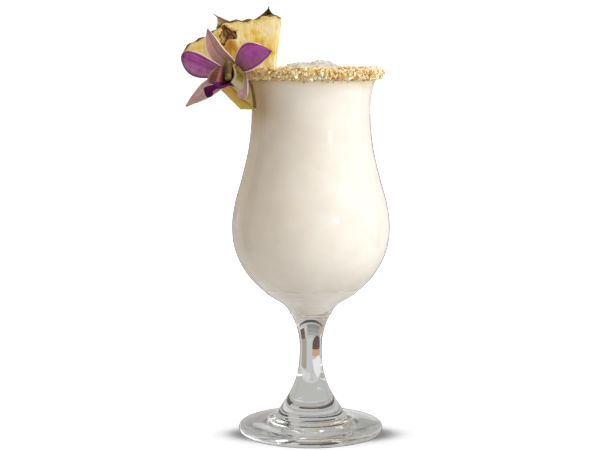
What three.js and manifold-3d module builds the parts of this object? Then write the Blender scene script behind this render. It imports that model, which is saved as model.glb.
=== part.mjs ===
// Pina colada in a stemmed tulip glass: the glass, the drink and its icy cap, a golden sugar
// crust on the rim, a pineapple wedge slotted on the wall and an orchid pinned to the wedge.
// Millimetres, +Z up. The origin is the centre of the foot's flat underside, and -Y is the front.
import * as THREE from "three";
import { mergeVertices } from "three/addons/utils/BufferGeometryUtils.js";
import Module from "manifold-3d";

const wasm = await Module();
wasm.setup();

// Driving dimensions

const clearance = 0.3; // left between neighbouring pieces
const roundSegments = 40; // facets round the glass and the drink

const glass = {
  height: 184,
  rimRadius: 33.1,
  neckHeight: 160.5,
  neckRadius: 29.7,
  bellyHeight: 105.9,
  bellyRadius: 39.7,
  waistHeight: 44.2, // the thinnest place of the stem
  waistRadius: 5.5,
  lipHeight: 1.27, // from the top of the rounded lip down to the plain wall
  wallAtRim: 2.1,
  wallAtBelly: 2.4,
  wallAtBottom: 5,
  cavityFloor: 61.2,
};

const foot = {
  radius: 36.6,
  edgeHeight: 4.7, // thickness of the foot at its rounded edge
  shoulderRadius: 17.6, // where the flare of the stem ends in a ring
  shoulderHeight: 9.6,
  stepRadius: 21,
  stepHeight: 7.2,
};

const drinkTop = 180.4;

const cap = {
  radius: 28, // the icy cap fills the mouth inside the crust
  edgeHeight: 183.4,
  peak: { at: [5, 1.5], height: 5.4, spread: 11 },
  shoulder: { at: [-8, 1], height: 3.5, spread: 9.5 },
};

const crust = {
  lowEdge: 179.5,
  topEdge: 186,
  outerRadius: 36.1,
  innerRadius: 29.5,
  innerLowEdge: 181.8,
  grainCount: 64,
  grainSize: 1.5,
};

const wedge = {
  radius: 58.3, // from the middle of the fruit to its rind
  apex: [-21.7, 152.4], // where the two straight cuts would meet, x and z
  leftAngle: 45.6, // degrees from upright
  rightAngle: 6.7,
  coreCut: 165, // height of the cut that takes the core away
  thickness: 10,
  pivot: [-31, -4.5], // the wedge turns about this upright line, x and y
  yaw: -5,
};

// The flower's own axes are x to the right, y away from the viewer and z up.
const flower = { centre: [-40.1, -22.6, 184.2], yaw: -19, thickness: 0.7 };

// Solids

function degrees(angle) {
  return THREE.MathUtils.degToRad(angle);
}

function solidOf(geometry) {
  const bare = geometry.clone();
  for (const name of Object.keys(bare.attributes)) {
    if (name !== "position") bare.deleteAttribute(name);
  }
  const merged = mergeVertices(bare, 1e-4);
  return new wasm.Manifold(
    new wasm.Mesh({
      numProp: 3,
      vertProperties: new Float32Array(merged.attributes.position.array),
      triVerts: new Uint32Array(merged.index.array),
    }),
  );
}

function largestBody(solid) {
  const bodies = solid.decompose();
  return bodies.reduce((best, body) => (body.volume() > best.volume() ? body : best));
}

function geometryOf(solid) {
  const mesh = solid.getMesh();
  const geometry = new THREE.BufferGeometry();
  const corners = new THREE.BufferAttribute(new Float32Array(mesh.vertProperties), mesh.numProp);
  geometry.setAttribute("position", corners);
  geometry.setIndex(new THREE.BufferAttribute(mesh.triVerts, 1));
  geometry.computeVertexNormals();
  return geometry;
}

function piece(name, solid, color, roughness) {
  const material = new THREE.MeshStandardMaterial({ color, roughness, metalness: 0 });
  const mesh = new THREE.Mesh(geometryOf(solid), material);
  mesh.name = name;
  return mesh;
}

function randomFrom(seed) {
  let state = seed;
  return () => {
    state = (Math.imul(state, 1664525) + 1013904223) >>> 0;
    return state / 4294967296;
  };
}

// A lathed solid about Z, from a profile of Vector2(radius, height) that runs anticlockwise
// in the radius and height plane.
function turned(profile, segments = roundSegments) {
  const geometry = new THREE.LatheGeometry(profile, segments);
  geometry.rotateX(Math.PI / 2);
  return solidOf(geometry);
}

// A closed solid from a grid of points: columns run round, so the last joins the first.
// Where wrapRows is false the first and last rows are closed by fans to their middles.
function solidOfGrid(rows, wrapRows) {
  const count = rows[0].length;
  const positions = rows.flat().flatMap((point) => [point.x, point.y, point.z]);
  const faces = [];
  const lastRow = wrapRows ? rows.length : rows.length - 1;
  for (let i = 0; i < lastRow; i++) {
    for (let j = 0; j < count; j++) {
      const a = i * count + j;
      const b = i * count + ((j + 1) % count);
      const c = ((i + 1) % rows.length) * count + j;
      const d = ((i + 1) % rows.length) * count + ((j + 1) % count);
      faces.push(a, b, d, a, d, c);
    }
  }
  if (!wrapRows) {
    for (const [row, flip] of [[0, true], [rows.length - 1, false]]) {
      const middle = new THREE.Vector3();
      rows[row].forEach((point) => middle.addScaledVector(point, 1 / count));
      const hub = positions.length / 3;
      positions.push(middle.x, middle.y, middle.z);
      for (let j = 0; j < count; j++) {
        const a = row * count + j;
        const b = row * count + ((j + 1) % count);
        faces.push(...(flip ? [b, a, hub] : [a, b, hub]));
      }
    }
  }
  const geometry = new THREE.BufferGeometry();
  geometry.setAttribute("position", new THREE.Float32BufferAttribute(positions, 3));
  geometry.setIndex(faces);
  return facingOut(geometry);
}

function facingOut(geometry) {
  const solid = solidOf(geometry);
  if (solid.volume() > 0) return solid;
  const index = geometry.index.array;
  for (let i = 0; i < index.length; i += 3) [index[i], index[i + 1]] = [index[i + 1], index[i]];
  return solidOf(geometry);
}

// A thin wavy solid round a surface pointAt(u, v), u from 0 to 1 and v from -1 to 1, with both
// faces split into triangles alike.
function sheet(pointAt, along, across, thickness) {
  const front = [];
  const back = [];
  const step = 1e-3;
  for (let i = 0; i <= along; i++) {
    for (let j = 0; j <= across; j++) {
      const u = i / along;
      const v = (2 * j) / across - 1;
      const point = pointAt(u, v);
      const du = pointAt(Math.min(u + step, 1), v).sub(pointAt(Math.max(u - step, 0), v));
      const dv = pointAt(u, Math.min(v + step, 1)).sub(pointAt(u, Math.max(v - step, -1)));
      const normal = du.cross(dv).normalize().multiplyScalar(thickness / 2);
      front.push(point.clone().add(normal));
      back.push(point.clone().sub(normal));
    }
  }
  const width = across + 1;
  const size = front.length;
  const faces = [];
  for (let i = 0; i < along; i++) {
    for (let j = 0; j < across; j++) {
      const a = i * width + j;
      const b = a + 1;
      const c = a + width;
      const d = c + 1;
      faces.push(a, c, d, a, d, b);
      faces.push(a + size, d + size, c + size, a + size, b + size, d + size);
    }
  }
  const rim = [];
  for (let j = 0; j < across; j++) rim.push(j);
  for (let i = 0; i < along; i++) rim.push(i * width + across);
  for (let j = across; j > 0; j--) rim.push(along * width + j);
  for (let i = along; i > 0; i--) rim.push(i * width);
  rim.forEach((a, k) => {
    const b = rim[(k + 1) % rim.length];
    faces.push(a, b, b + size, a, b + size, a + size);
  });
  const positions = [...front, ...back].flatMap((point) => [point.x, point.y, point.z]);
  const geometry = new THREE.BufferGeometry();
  geometry.setAttribute("position", new THREE.Float32BufferAttribute(positions, 3));
  geometry.setIndex(faces);
  return facingOut(geometry);
}

function roundRod(points, radius, steps) {
  const outline = new THREE.Shape();
  outline.absarc(0, 0, radius, 0, 2 * Math.PI, false);
  const path = new THREE.CatmullRomCurve3(points.map((point) => new THREE.Vector3(...point)));
  const options = { steps, curveSegments: 5, extrudePath: path, bevelEnabled: false };
  return solidOf(new THREE.ExtrudeGeometry(outline, options));
}

// Glass

// Radii and heights of the outside from the rim down to the foot, where the outline turns.
const outsideStations = [
  [glass.rimRadius, glass.height - glass.lipHeight],
  [30.4, 172.5],
  [glass.neckRadius, glass.neckHeight],
  [31.2, 145.4],
  [34.7, 130.3],
  [38.2, 117.5],
  [glass.bellyRadius, glass.bellyHeight],
  [38.1, 93.7],
  [31.8, 81.4],
  [21.6, 71.4],
  [13.2, 65.7],
  [8.5, 58.3],
  [6.1, 50.5],
  [glass.waistRadius, glass.waistHeight],
  [6.4, 31.8],
  [9.5, 22.4],
  [15.1, 13],
  [foot.shoulderRadius, foot.shoulderHeight],
];
const cavityEndStation = 9;
const outsideSteps = 26;
const cavitySteps = 11;

const outside = new THREE.CatmullRomCurve3(
  outsideStations.map(([radius, height]) => new THREE.Vector3(radius, height, 0)),
);

function stationParameter(station) {
  return station / (outsideStations.length - 1);
}

function wallThickness(height) {
  if (height > glass.bellyHeight) {
    const share = (height - glass.bellyHeight) / (glass.height - glass.bellyHeight);
    return THREE.MathUtils.lerp(glass.wallAtBelly, glass.wallAtRim, share);
  }
  const bowlEnd = outsideStations[cavityEndStation][1];
  const share = (glass.bellyHeight - height) / (glass.bellyHeight - bowlEnd);
  return THREE.MathUtils.lerp(glass.wallAtBelly, glass.wallAtBottom, share ** 3);
}

// A point of the cavity's wall, moved inward from the outside by the wall and by extra.
function insidePoint(parameter, extra) {
  const point = outside.getPoint(parameter);
  const tangent = outside.getTangent(parameter);
  const inset = wallThickness(point.y) + extra;
  return new THREE.Vector2(point.x + tangent.y * inset, point.y - tangent.x * inset);
}

// The cavity's wall from the rim to the middle of its rounded floor.
function cavityProfile(extra) {
  const points = [];
  const end = stationParameter(cavityEndStation);
  for (let i = 0; i <= cavitySteps; i++) points.push(insidePoint((end * i) / cavitySteps, extra));
  const last = points[points.length - 1];
  const floor = glass.cavityFloor + extra;
  const heading = outside.getTangent(end);
  const corner = new THREE.Vector2(last.x - ((last.y - floor) * heading.x) / heading.y, floor);
  const bottom = new THREE.QuadraticBezierCurve(last, corner, new THREE.Vector2(0, floor));
  points.push(...bottom.getPoints(4).slice(1));
  return points;
}

function lipPoints(steps) {
  const outer = outside.getPoint(0);
  const inner = insidePoint(0, 0);
  const centre = new THREE.Vector2((outer.x + inner.x) / 2, (outer.y + inner.y) / 2);
  const radius = (outer.x - inner.x) / 2;
  const points = [];
  for (let i = 1; i < steps; i++) {
    const angle = (Math.PI * i) / steps;
    const offset = new THREE.Vector2(Math.cos(angle) * radius, Math.sin(angle) * radius);
    points.push(centre.clone().add(offset));
  }
  return points;
}

function footPoints() {
  const half = foot.edgeHeight / 2;
  const points = [new THREE.Vector2(0, 0)];
  for (let i = 0; i <= 6; i++) {
    const angle = -Math.PI / 2 + (Math.PI * i) / 6;
    const along = foot.radius - half + Math.cos(angle) * half;
    points.push(new THREE.Vector2(along, half + Math.sin(angle) * half));
  }
  points.push(new THREE.Vector2(foot.stepRadius + 2, foot.stepHeight - 0.9));
  points.push(new THREE.Vector2(foot.stepRadius, foot.stepHeight));
  points.push(new THREE.Vector2(foot.shoulderRadius + 0.7, foot.shoulderHeight - 1));
  return points;
}

function glassSolid() {
  const up = [];
  for (let i = outsideSteps; i >= 0; i--) {
    const point = outside.getPoint(i / outsideSteps);
    up.push(new THREE.Vector2(point.x, point.y));
  }
  return turned([...footPoints(), ...up, ...lipPoints(4), ...cavityProfile(0)]);
}

// The upper wall as a closed ring that is grown on both sides and at the lip, for use as a
// cutter. Its facets are those of the glass, so what it cuts keeps an even gap.
function wallRing(grow) {
  const lowest = 150;
  const outer = [];
  const inner = [];
  for (let i = 0; outsideSteps > i && outside.getPoint(i / outsideSteps).y > lowest; i++) {
    const point = outside.getPoint(i / outsideSteps);
    outer.push(new THREE.Vector2(point.x + grow, point.y));
  }
  for (const point of cavityProfile(0)) {
    if (point.y > lowest) inner.push(new THREE.Vector2(point.x - grow, point.y));
  }
  const top = glass.height + grow;
  const lip = [new THREE.Vector2(outer[0].x, top), new THREE.Vector2(inner[0].x, top)];
  const profile = [...outer.reverse(), ...lip, ...inner];
  profile.push(profile[0].clone());
  return turned(profile);
}

// Pineapple wedge

// The rind's distance from the middle of the fruit: eyes as wide scallops with finer knobs.
function rindRadius(angle, depth) {
  const eyes = 0.8 * Math.cos((2 * Math.PI * (angle - 2.5)) / 22);
  const knobs = 0.35 * Math.cos((2 * Math.PI * (angle + 28.6)) / 6.4 + depth * 0.35);
  const roundOff = -0.35 * (depth / (wedge.thickness / 2)) ** 2;
  return wedge.radius + eyes + knobs + roundOff;
}

function placeOnRim(geometry) {
  geometry.translate(-wedge.pivot[0], 0, 0);
  geometry.rotateZ(degrees(wedge.yaw));
  geometry.translate(wedge.pivot[0], wedge.pivot[1], 0);
  return geometry;
}

// The sector of a slice, its cut faces upright across Y, grown outward for use as a cutter.
function sector(grow, depthSteps) {
  const half = (wedge.leftAngle + wedge.rightAngle) / 2;
  const bisector = degrees((wedge.leftAngle - wedge.rightAngle) / 2);
  const shift = grow / Math.sin(degrees(half));
  const apexX = wedge.apex[0] + Math.sin(bisector) * shift;
  const apexZ = wedge.apex[1] - Math.cos(bisector) * shift;
  const coreLength = wedge.coreCut - grow - apexZ;
  const outline = new THREE.Shape();
  outline.moveTo(apexX + coreLength * Math.tan(degrees(wedge.rightAngle)), apexZ + coreLength);
  const steps = 40;
  for (let i = 0; i <= steps; i++) {
    const angle = THREE.MathUtils.lerp(wedge.rightAngle, -wedge.leftAngle, i / steps);
    const radius = wedge.radius + shift + grow;
    const across = Math.sin(degrees(angle)) * radius;
    outline.lineTo(apexX + across, apexZ + Math.cos(degrees(angle)) * radius);
  }
  outline.lineTo(apexX - coreLength * Math.tan(degrees(wedge.leftAngle)), apexZ + coreLength);
  outline.closePath();
  const depth = wedge.thickness + 2 * grow;
  const options = { depth, steps: depthSteps, bevelEnabled: false };
  const geometry = new THREE.ExtrudeGeometry(outline, options);
  geometry.rotateX(Math.PI / 2);
  geometry.translate(0, depth / 2, 0);
  return geometry;
}

function knobRind(geometry) {
  const corners = geometry.attributes.position;
  for (let i = 0; i < corners.count; i++) {
    const x = corners.getX(i) - wedge.apex[0];
    const z = corners.getZ(i) - wedge.apex[1];
    const reach = Math.hypot(x, z);
    if (reach < wedge.radius - 1) continue;
    const angle = THREE.MathUtils.radToDeg(Math.atan2(x, z));
    const grown = rindRadius(angle, corners.getY(i)) / reach;
    corners.setX(i, wedge.apex[0] + x * grown);
    corners.setZ(i, wedge.apex[1] + z * grown);
  }
}

// A dry pointed bract on the rind: a flat leaf-like spike that bends as it rises.
function bract(angle, depth, length, width, bend) {
  const geometry = new THREE.ConeGeometry(width / 2, length + 2, 6, 4);
  geometry.translate(0, (length + 2) / 2 - 2, 0);
  geometry.scale(1, 1, 0.55);
  const corners = geometry.attributes.position;
  for (let i = 0; i < corners.count; i++) {
    const share = Math.max(corners.getY(i), 0) / length;
    corners.setX(i, corners.getX(i) + bend * share * share);
  }
  geometry.rotateX(Math.PI / 2);
  geometry.rotateY(degrees(angle));
  const reach = rindRadius(angle, depth);
  const x = wedge.apex[0] + Math.sin(degrees(angle)) * reach;
  const z = wedge.apex[1] + Math.cos(degrees(angle)) * reach;
  geometry.translate(x, depth, z);
  return solidOf(placeOnRim(geometry));
}

// The dried eye just under the rind, a shallow pocket in the front cut face.
function eyePocket() {
  const geometry = new THREE.SphereGeometry(1, 14, 8);
  geometry.scale(4.6, 1.1, 2.7);
  geometry.rotateY(degrees(8));
  geometry.translate(-40.6, -wedge.thickness / 2, 202.6);
  return solidOf(placeOnRim(geometry));
}

const stalkPath = [
  [-39, -19.8, 185.6],
  [-38.6, -16.5, 185.1],
  [-38.2, -12.5, 184.3],
  [-38, -6.6, 184],
];
const stalkRadius = 1.1;

function stalkSocket() {
  const [x, y, z] = stalkPath[stalkPath.length - 1];
  const deeper = [...stalkPath.slice(1), [x, y + clearance, z]];
  return roundRod(deeper, stalkRadius + clearance, 8);
}

function wedgeSolid() {
  const slice = sector(0, 3);
  knobRind(slice);
  const bracts = [
    bract(0.4, 0.5, 4.4, 6.2, 0.9),
    bract(-22, -1.5, 5.8, 4, -2.4),
  ];
  const grown = bracts.reduce((sum, spike) => sum.add(spike), solidOf(placeOnRim(slice)));
  return grown.subtract(wallRing(clearance)).subtract(eyePocket()).subtract(stalkSocket());
}

const wedgeCutter = solidOf(placeOnRim(sector(clearance, 1)));

// Drink and its icy cap

function drinkSolid() {
  const wall = cavityProfile(clearance).filter((point) => point.y < drinkTop - 2);
  const first = insidePoint(stationParameter(0.3), clearance);
  const top = [new THREE.Vector2(0, drinkTop), new THREE.Vector2(first.x, drinkTop)];
  return turned([...top, ...wall].reverse()).subtract(wedgeCutter);
}

// Ice lumps of seeded places and sizes that make the cap's surface uneven.
const lumpRandom = randomFrom(7);
const lumps = Array.from({ length: 70 }, () => {
  const reach = cap.radius * Math.sqrt(lumpRandom());
  const angle = 2 * Math.PI * lumpRandom();
  return {
    x: reach * Math.cos(angle),
    y: reach * Math.sin(angle),
    radius: 2.6 + 2.2 * lumpRandom(),
    height: 0.4 + 1 * lumpRandom(),
  };
});

function capHeight(x, y) {
  const edge = Math.min(Math.hypot(x, y) / cap.radius, 1);
  let heap = 0;
  for (const { at, height, spread } of [cap.peak, cap.shoulder]) {
    const away = Math.hypot(x - at[0], y - at[1]) / spread;
    heap = Math.max(heap, height * Math.exp(-away * away));
  }
  let uneven = 0;
  for (const lump of lumps) {
    const distance = Math.hypot(x - lump.x, y - lump.y) / lump.radius;
    uneven = Math.max(uneven, lump.height * (1 - distance * distance));
  }
  return cap.edgeHeight + heap + uneven * (1 - 0.7 * edge ** 4);
}

function capSolid() {
  const rings = 10;
  const around = 32;
  const floor = drinkTop + clearance;
  const ringAt = (reach, heightAt) =>
    Array.from({ length: around }, (_, j) => {
      const angle = (2 * Math.PI * j) / around;
      const x = reach * Math.cos(angle);
      const y = reach * Math.sin(angle);
      return new THREE.Vector3(x, y, heightAt(x, y));
    });
  const rows = [ringAt(cap.radius - 0.6, () => floor)];
  for (let i = rings; i >= 1; i--) rows.push(ringAt((cap.radius * i) / rings, capHeight));
  return largestBody(solidOfGrid(rows, false).subtract(wedgeCutter));
}

// Sugar crust

// The crust's section as radii and heights: its skin outside, over the lip and inside. The
// glass's wall is cut out of it afterwards.
function crustSkin() {
  const middle = (crust.lowEdge + crust.topEdge) / 2;
  return [
    [crust.outerRadius - 2, crust.lowEdge - 0.2],
    [crust.outerRadius - 0.3, crust.lowEdge + 1.5],
    [crust.outerRadius, middle + 0.5],
    [crust.outerRadius - 0.8, crust.topEdge - 0.9],
    [crust.outerRadius - 2.5, crust.topEdge],
    [crust.innerRadius + 2, crust.topEdge],
    [crust.innerRadius + 0.5, crust.topEdge - 1],
    [crust.innerRadius, middle + 0.4],
    [crust.innerRadius + 0.3, crust.innerLowEdge],
  ];
}

// One sugar crystal, turned at random and set on the skin at a share of its way round.
function grainOn(skin, angle, share, random) {
  const grain = new THREE.OctahedronGeometry(crust.grainSize * (0.5 + 0.4 * random()));
  grain.rotateX(Math.PI * random()).rotateY(Math.PI * random());
  const place = (skin.length - 1) * share;
  const [r0, z0] = skin[Math.floor(place)];
  const [r1, z1] = skin[Math.ceil(place)];
  const reach = THREE.MathUtils.lerp(r0, r1, place % 1);
  const height = THREE.MathUtils.lerp(z0, z1, place % 1);
  grain.translate(reach * Math.cos(angle), reach * Math.sin(angle), height + 0.3);
  return solidOf(grain);
}

function crustSolid() {
  const random = randomFrom(21);
  const skin = crustSkin();
  const around = 2 * roundSegments;
  const rows = [];
  for (let i = 0; i < around; i++) {
    const angle = (2 * Math.PI * i) / around;
    rows.push(
      skin.map(([radius, height]) => {
        const bump = 0.55 * random();
        const reach = radius + bump * Math.sign(radius - glass.rimRadius + 1);
        return new THREE.Vector3(reach * Math.cos(angle), reach * Math.sin(angle), height + bump);
      }),
    );
  }
  let solid = solidOfGrid(rows, true);
  for (let k = 0; k < crust.grainCount; k++) {
    const angle = (2 * Math.PI * (k + 0.6 * random())) / crust.grainCount;
    const share = (k * 0.382 + 0.1 * random()) % 1;
    solid = solid.add(grainOn(skin, angle, share, random));
  }
  return largestBody(solid.subtract(wedgeCutter).subtract(wallRing(clearance)));
}

// Orchid

// A tepal from base to tip, each as [right, up, forward], bulged and cupped like a spoon.
// widest is where along its length it is widest, fullness under 1 blunts its ends, and
// sweep bows its middle line sideways. A larger point draws the tip out to a sharper one.
function tepal({ base, tip, halfWidth, widest, fullness, sweep, arch, cup, point = 0 }) {
  const start = flowerPoint(base);
  const axis = flowerPoint(tip).sub(start);
  const side = new THREE.Vector3(0, -1, 0).cross(axis).normalize();
  const facing = new THREE.Vector3().crossVectors(axis, side).normalize();
  const power = Math.log(0.5) / Math.log(widest);
  return (u, v) => {
    const run = 0.06 + 0.935 * u;
    const blunt = halfWidth * Math.sin(Math.PI * run ** power) ** fullness;
    const width = blunt * (1 - point * u ** 5);
    const ruffle = 0.35 * Math.sin(9 * u + 2 * v) * v * v;
    const rise = arch * 4 * u * (1 - u) + cup * v * v * (width / halfWidth) + ruffle;
    const across = v * width + sweep * Math.sin(Math.PI * u);
    const middle = start.clone().addScaledVector(axis, u);
    return middle.addScaledVector(side, across).addScaledVector(facing, rise);
  };
}

function flowerPoint([right, up, forward]) {
  return new THREE.Vector3(right, -forward, up);
}

const tepals = {
  petal_left: {
    base: [-2.4, -0.4, 0.2],
    tip: [-25.5, 7.3, -1.5],
    halfWidth: 5.8,
    widest: 0.61,
    fullness: 0.54,
    sweep: 1.35,
    arch: 1.6,
    cup: -0.4,
  },
  petal_right: {
    base: [4.3, 2.2, 0.2],
    tip: [22.5, 9.5, 1],
    halfWidth: 6.9,
    widest: 0.47,
    fullness: 0.74,
    sweep: 2.1,
    arch: 1.6,
    cup: -0.8,
    point: 0.1,
  },
  sepal_top: {
    base: [0.9, 2.6, -2.4],
    tip: [-12.1, 20.4, -3],
    halfWidth: 4.3,
    widest: 0.45,
    fullness: 0.46,
    sweep: 2.6,
    arch: 0.5,
    cup: 0.8,
    point: 0.4,
  },
  sepal_left: {
    base: [-1.6, -3, -2.4],
    tip: [-23.9, -17.5, -2.6],
    halfWidth: 4.1,
    widest: 0.42,
    fullness: 0.7,
    sweep: -0.6,
    arch: 0.4,
    cup: 0.7,
  },
  sepal_right: {
    base: [8, 0.7, -1.8],
    tip: [4.3, -13.2, -6.5],
    halfWidth: 2.7,
    widest: 0.78,
    fullness: 0.36,
    sweep: 1,
    arch: 1.2,
    cup: 0.6,
  },
};

// The lip is a cup with a wing on each side that opens to the front and left. Each row of places
// runs from the right wing's edge over its fold, the throat and the left fold to the left wing's
// edge, and the last rows are the drooping front lobe.
const lipRows = [
  [[6.6, 2, 2.6], [3.9, 2.7, 3.8], [1.2, 2.4, 0.8], [-1.8, 2.5, 3.6], [-4.9, 1.9, 3]],
  [[9.1, -2.8, 3.4], [5.8, -1.6, 6], [1.8, -1.9, 0.9], [-2.1, -1.2, 6], [-8.4, -1.4, 4]],
  [[7.9, -8.7, 4.6], [4.8, -4.9, 7], [1.1, -6.3, 3], [-2.8, -4.5, 7], [-8.9, -5.7, 5]],
  [[3.6, -6.3, 8], [1.7, -7.2, 8.6], [-0.7, -8.1, 9], [-2.6, -7.4, 9.2], [-4.1, -5.3, 8.6]],
  [[-3.3, -9, 10], [-3.4, -8.4, 9.9], [-3.7, -7.7, 9.7], [-4.1, -7.1, 9.3], [-4.5, -6.5, 8.8]],
  [[-4.5, -11.5, 10.3], [-5.2, -10.5, 10.1], [-6.1, -9.5, 9.8], [-7.1, -8.4, 9.2], [-8.2, -7.5, 8.6]],
  [[-7.1, -12.6, 9.6], [-7.8, -12, 9.4], [-8.5, -11, 9], [-9.2, -9.7, 8.4], [-9.7, -8.3, 7.8]],
];

function curveThrough(points) {
  return new THREE.CatmullRomCurve3(points, false, "catmullrom", 0.5);
}

function lipSurface(u, v) {
  const along = lipRows.map((row) => curveThrough(row.map(flowerPoint)).getPoint((v + 1) / 2));
  return curveThrough(along).getPoint(u);
}

// The short column over the throat, with the rounded anther cap at its lower end.
function columnSolid() {
  const profile = [
    [0, 0],
    [1.4, 0.2],
    [1.7, 1.2],
    [1.55, 4.2],
    [1.6, 5.8],
    [1.85, 6.6],
    [1.85, 8],
    [1.4, 9],
    [0, 9.3],
  ].map(([radius, height]) => new THREE.Vector2(radius, height));
  const geometry = new THREE.LatheGeometry(profile, 12);
  const top = flowerPoint([1, 4.6, 3.4]);
  const end = flowerPoint([2.2, -4.4, 6.2]);
  const heading = end.sub(top).normalize();
  const upright = new THREE.Vector3(0, 1, 0);
  geometry.applyQuaternion(new THREE.Quaternion().setFromUnitVectors(upright, heading));
  geometry.translate(top.x, top.y, top.z);
  return solidOf(geometry);
}

function orchid() {
  const group = new THREE.Group();
  group.position.set(...flower.centre);
  group.rotation.z = degrees(flower.yaw);
  const petalColor = "#8a3f86";
  const sepalColor = "#a67a80";
  for (const [name, form] of Object.entries(tepals)) {
    const solid = sheet(tepal(form), 10, 6, flower.thickness);
    group.add(piece("orchid_" + name, solid, name.startsWith("petal") ? petalColor : sepalColor, 0.6));
  }
  group.add(piece("orchid_lip", sheet(lipSurface, 14, 8, flower.thickness), "#541a45", 0.55));
  group.add(piece("orchid_column", columnSolid(), "#75602f", 0.5));
  return group;
}

// The whole

const group = new THREE.Group();
group.add(piece("glass", glassSolid(), "#dfe6e4", 0.05));
group.add(piece("drink", drinkSolid(), "#f3ead9", 0.5));
group.add(piece("slush_cap", capSolid(), "#f6f1e9", 0.35));
group.add(piece("sugar_rim", crustSolid(), "#cfa468", 0.6));
group.add(piece("pineapple_wedge", wedgeSolid(), "#e6c574", 0.5));
group.add(piece("orchid_stalk", roundRod(stalkPath, stalkRadius, 10), "#8d9a5c", 0.6));
group.add(orchid());

export default group;
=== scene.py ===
# %% [markdown]
# # A pina colada with its garnish
#
# The real object is a stemmed tulip glass of cream drink with an icy top, a crust of golden sugar
# on the lip, a wedge of pineapple slotted on the wall and an orchid pinned to the wedge.
# We load a fixed frame of plain solids first. Every piece made below takes the place of one of
# them, so nothing has to be fitted by eye afterwards.
#
# All sizes below are in millimetres, as a maker would measure them. They are turned into Blender's
# metres only where a mesh, a material, a lamp or the camera is made.

# %% Load the frame
import itertools
import math

import bmesh
import bpy
import numpy as np
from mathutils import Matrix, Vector


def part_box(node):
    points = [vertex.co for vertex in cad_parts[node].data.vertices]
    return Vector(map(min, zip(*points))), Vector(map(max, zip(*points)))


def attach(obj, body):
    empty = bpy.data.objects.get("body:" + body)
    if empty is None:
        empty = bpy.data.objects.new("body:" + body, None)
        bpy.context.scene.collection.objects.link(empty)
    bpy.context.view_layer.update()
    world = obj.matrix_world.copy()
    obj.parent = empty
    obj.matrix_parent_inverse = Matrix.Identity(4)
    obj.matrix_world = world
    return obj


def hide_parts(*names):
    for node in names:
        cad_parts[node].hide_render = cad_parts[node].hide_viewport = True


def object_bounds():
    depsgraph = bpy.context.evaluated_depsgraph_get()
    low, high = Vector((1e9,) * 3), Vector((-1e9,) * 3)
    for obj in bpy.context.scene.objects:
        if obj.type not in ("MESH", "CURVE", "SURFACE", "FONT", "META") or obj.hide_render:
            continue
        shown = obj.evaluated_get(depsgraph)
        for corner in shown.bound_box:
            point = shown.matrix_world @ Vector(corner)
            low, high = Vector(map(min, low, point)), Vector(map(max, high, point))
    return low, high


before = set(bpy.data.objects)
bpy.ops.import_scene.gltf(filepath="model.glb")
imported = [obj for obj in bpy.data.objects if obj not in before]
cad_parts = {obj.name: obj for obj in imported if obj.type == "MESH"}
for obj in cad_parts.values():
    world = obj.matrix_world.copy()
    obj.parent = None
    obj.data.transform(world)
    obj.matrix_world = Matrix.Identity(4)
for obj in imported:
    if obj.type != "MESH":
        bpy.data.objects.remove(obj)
solid_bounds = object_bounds()
MM = 0.001


def node_box(node):
    """Lowest and highest corner of a solid, in millimetres."""
    low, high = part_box(node)
    return np.array(low) / MM, np.array(high) / MM


print("nodes in the frame:", len(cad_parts))

# %% [markdown]
# ## Turning points into pieces
#
# Blender can make a mesh from a list of points and a list of faces. Most pieces here are regular
# grids of points, bent by a formula, so one helper builds the faces of a grid and another makes
# the object. A formula is easier to tune than pushing points by hand, and it gives the same
# result on every run.

# %% Make meshes from grids of points


def grid_faces(rows, columns, wrap_rows=False, wrap_columns=False):
    """Faces of a grid whose points are stored row by row."""
    row = np.arange(rows if wrap_rows else rows - 1)[:, None]
    column = np.arange(columns if wrap_columns else columns - 1)[None, :]
    below = (row + 1) % rows
    beside = (column + 1) % columns
    corners = [
        row * columns + column,
        row * columns + beside,
        below * columns + beside,
        below * columns + column,
    ]
    return np.stack(np.broadcast_arrays(*corners), axis=-1).reshape(-1, 4)


def make_mesh(name, points, faces, closed=False):
    """A mesh object from points in millimetres. A closed one has its faces turned outward."""
    mesh = bpy.data.meshes.new(name)
    points = np.asarray(points, dtype=float).reshape(-1, 3) * MM
    mesh.from_pydata(points.tolist(), [], [list(map(int, face)) for face in faces])
    mesh.validate()
    if closed:
        shape = bmesh.new()
        shape.from_mesh(mesh)
        bmesh.ops.recalc_face_normals(shape, faces=shape.faces)
        shape.to_mesh(mesh)
        shape.free()
    piece = bpy.data.objects.new(name, mesh)
    bpy.context.scene.collection.objects.link(piece)
    return piece


print("a grid of 3 by 4 points has", len(grid_faces(3, 4)), "faces")

# %% [markdown]
# ## Working on a finished mesh
#
# A piece is made in steps: a mesh, then cuts and relief, then numbers stored on its points that
# its material will read, and last its place in the frame. A modifier is applied at once, so that
# only its result is kept and the mesh never depends on a helper object.

# %% Read, cut and place a mesh


def read_points(piece):
    """The points of a mesh as an array, in millimetres."""
    flat = np.zeros(len(piece.data.vertices) * 3)
    piece.data.vertices.foreach_get("co", flat)
    return flat.reshape(-1, 3) / MM


def paint_points(piece, **stored):
    """Stores named numbers, one for each point, for a material to read."""
    for name, values in stored.items():
        attribute = piece.data.attributes.new(name, "FLOAT", "POINT")
        attribute.data.foreach_set("value", np.asarray(values, dtype=np.float32).ravel())


def apply_modifier(piece, kind, **settings):
    """Adds one modifier, sets it and applies it, so that only its result is kept."""
    modifier = piece.modifiers.new(kind.lower(), kind)
    for key, value in settings.items():
        setattr(modifier, key, value)
    with bpy.context.temp_override(object=piece, active_object=piece):
        bpy.ops.object.modifier_apply(modifier=modifier.name)


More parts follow.
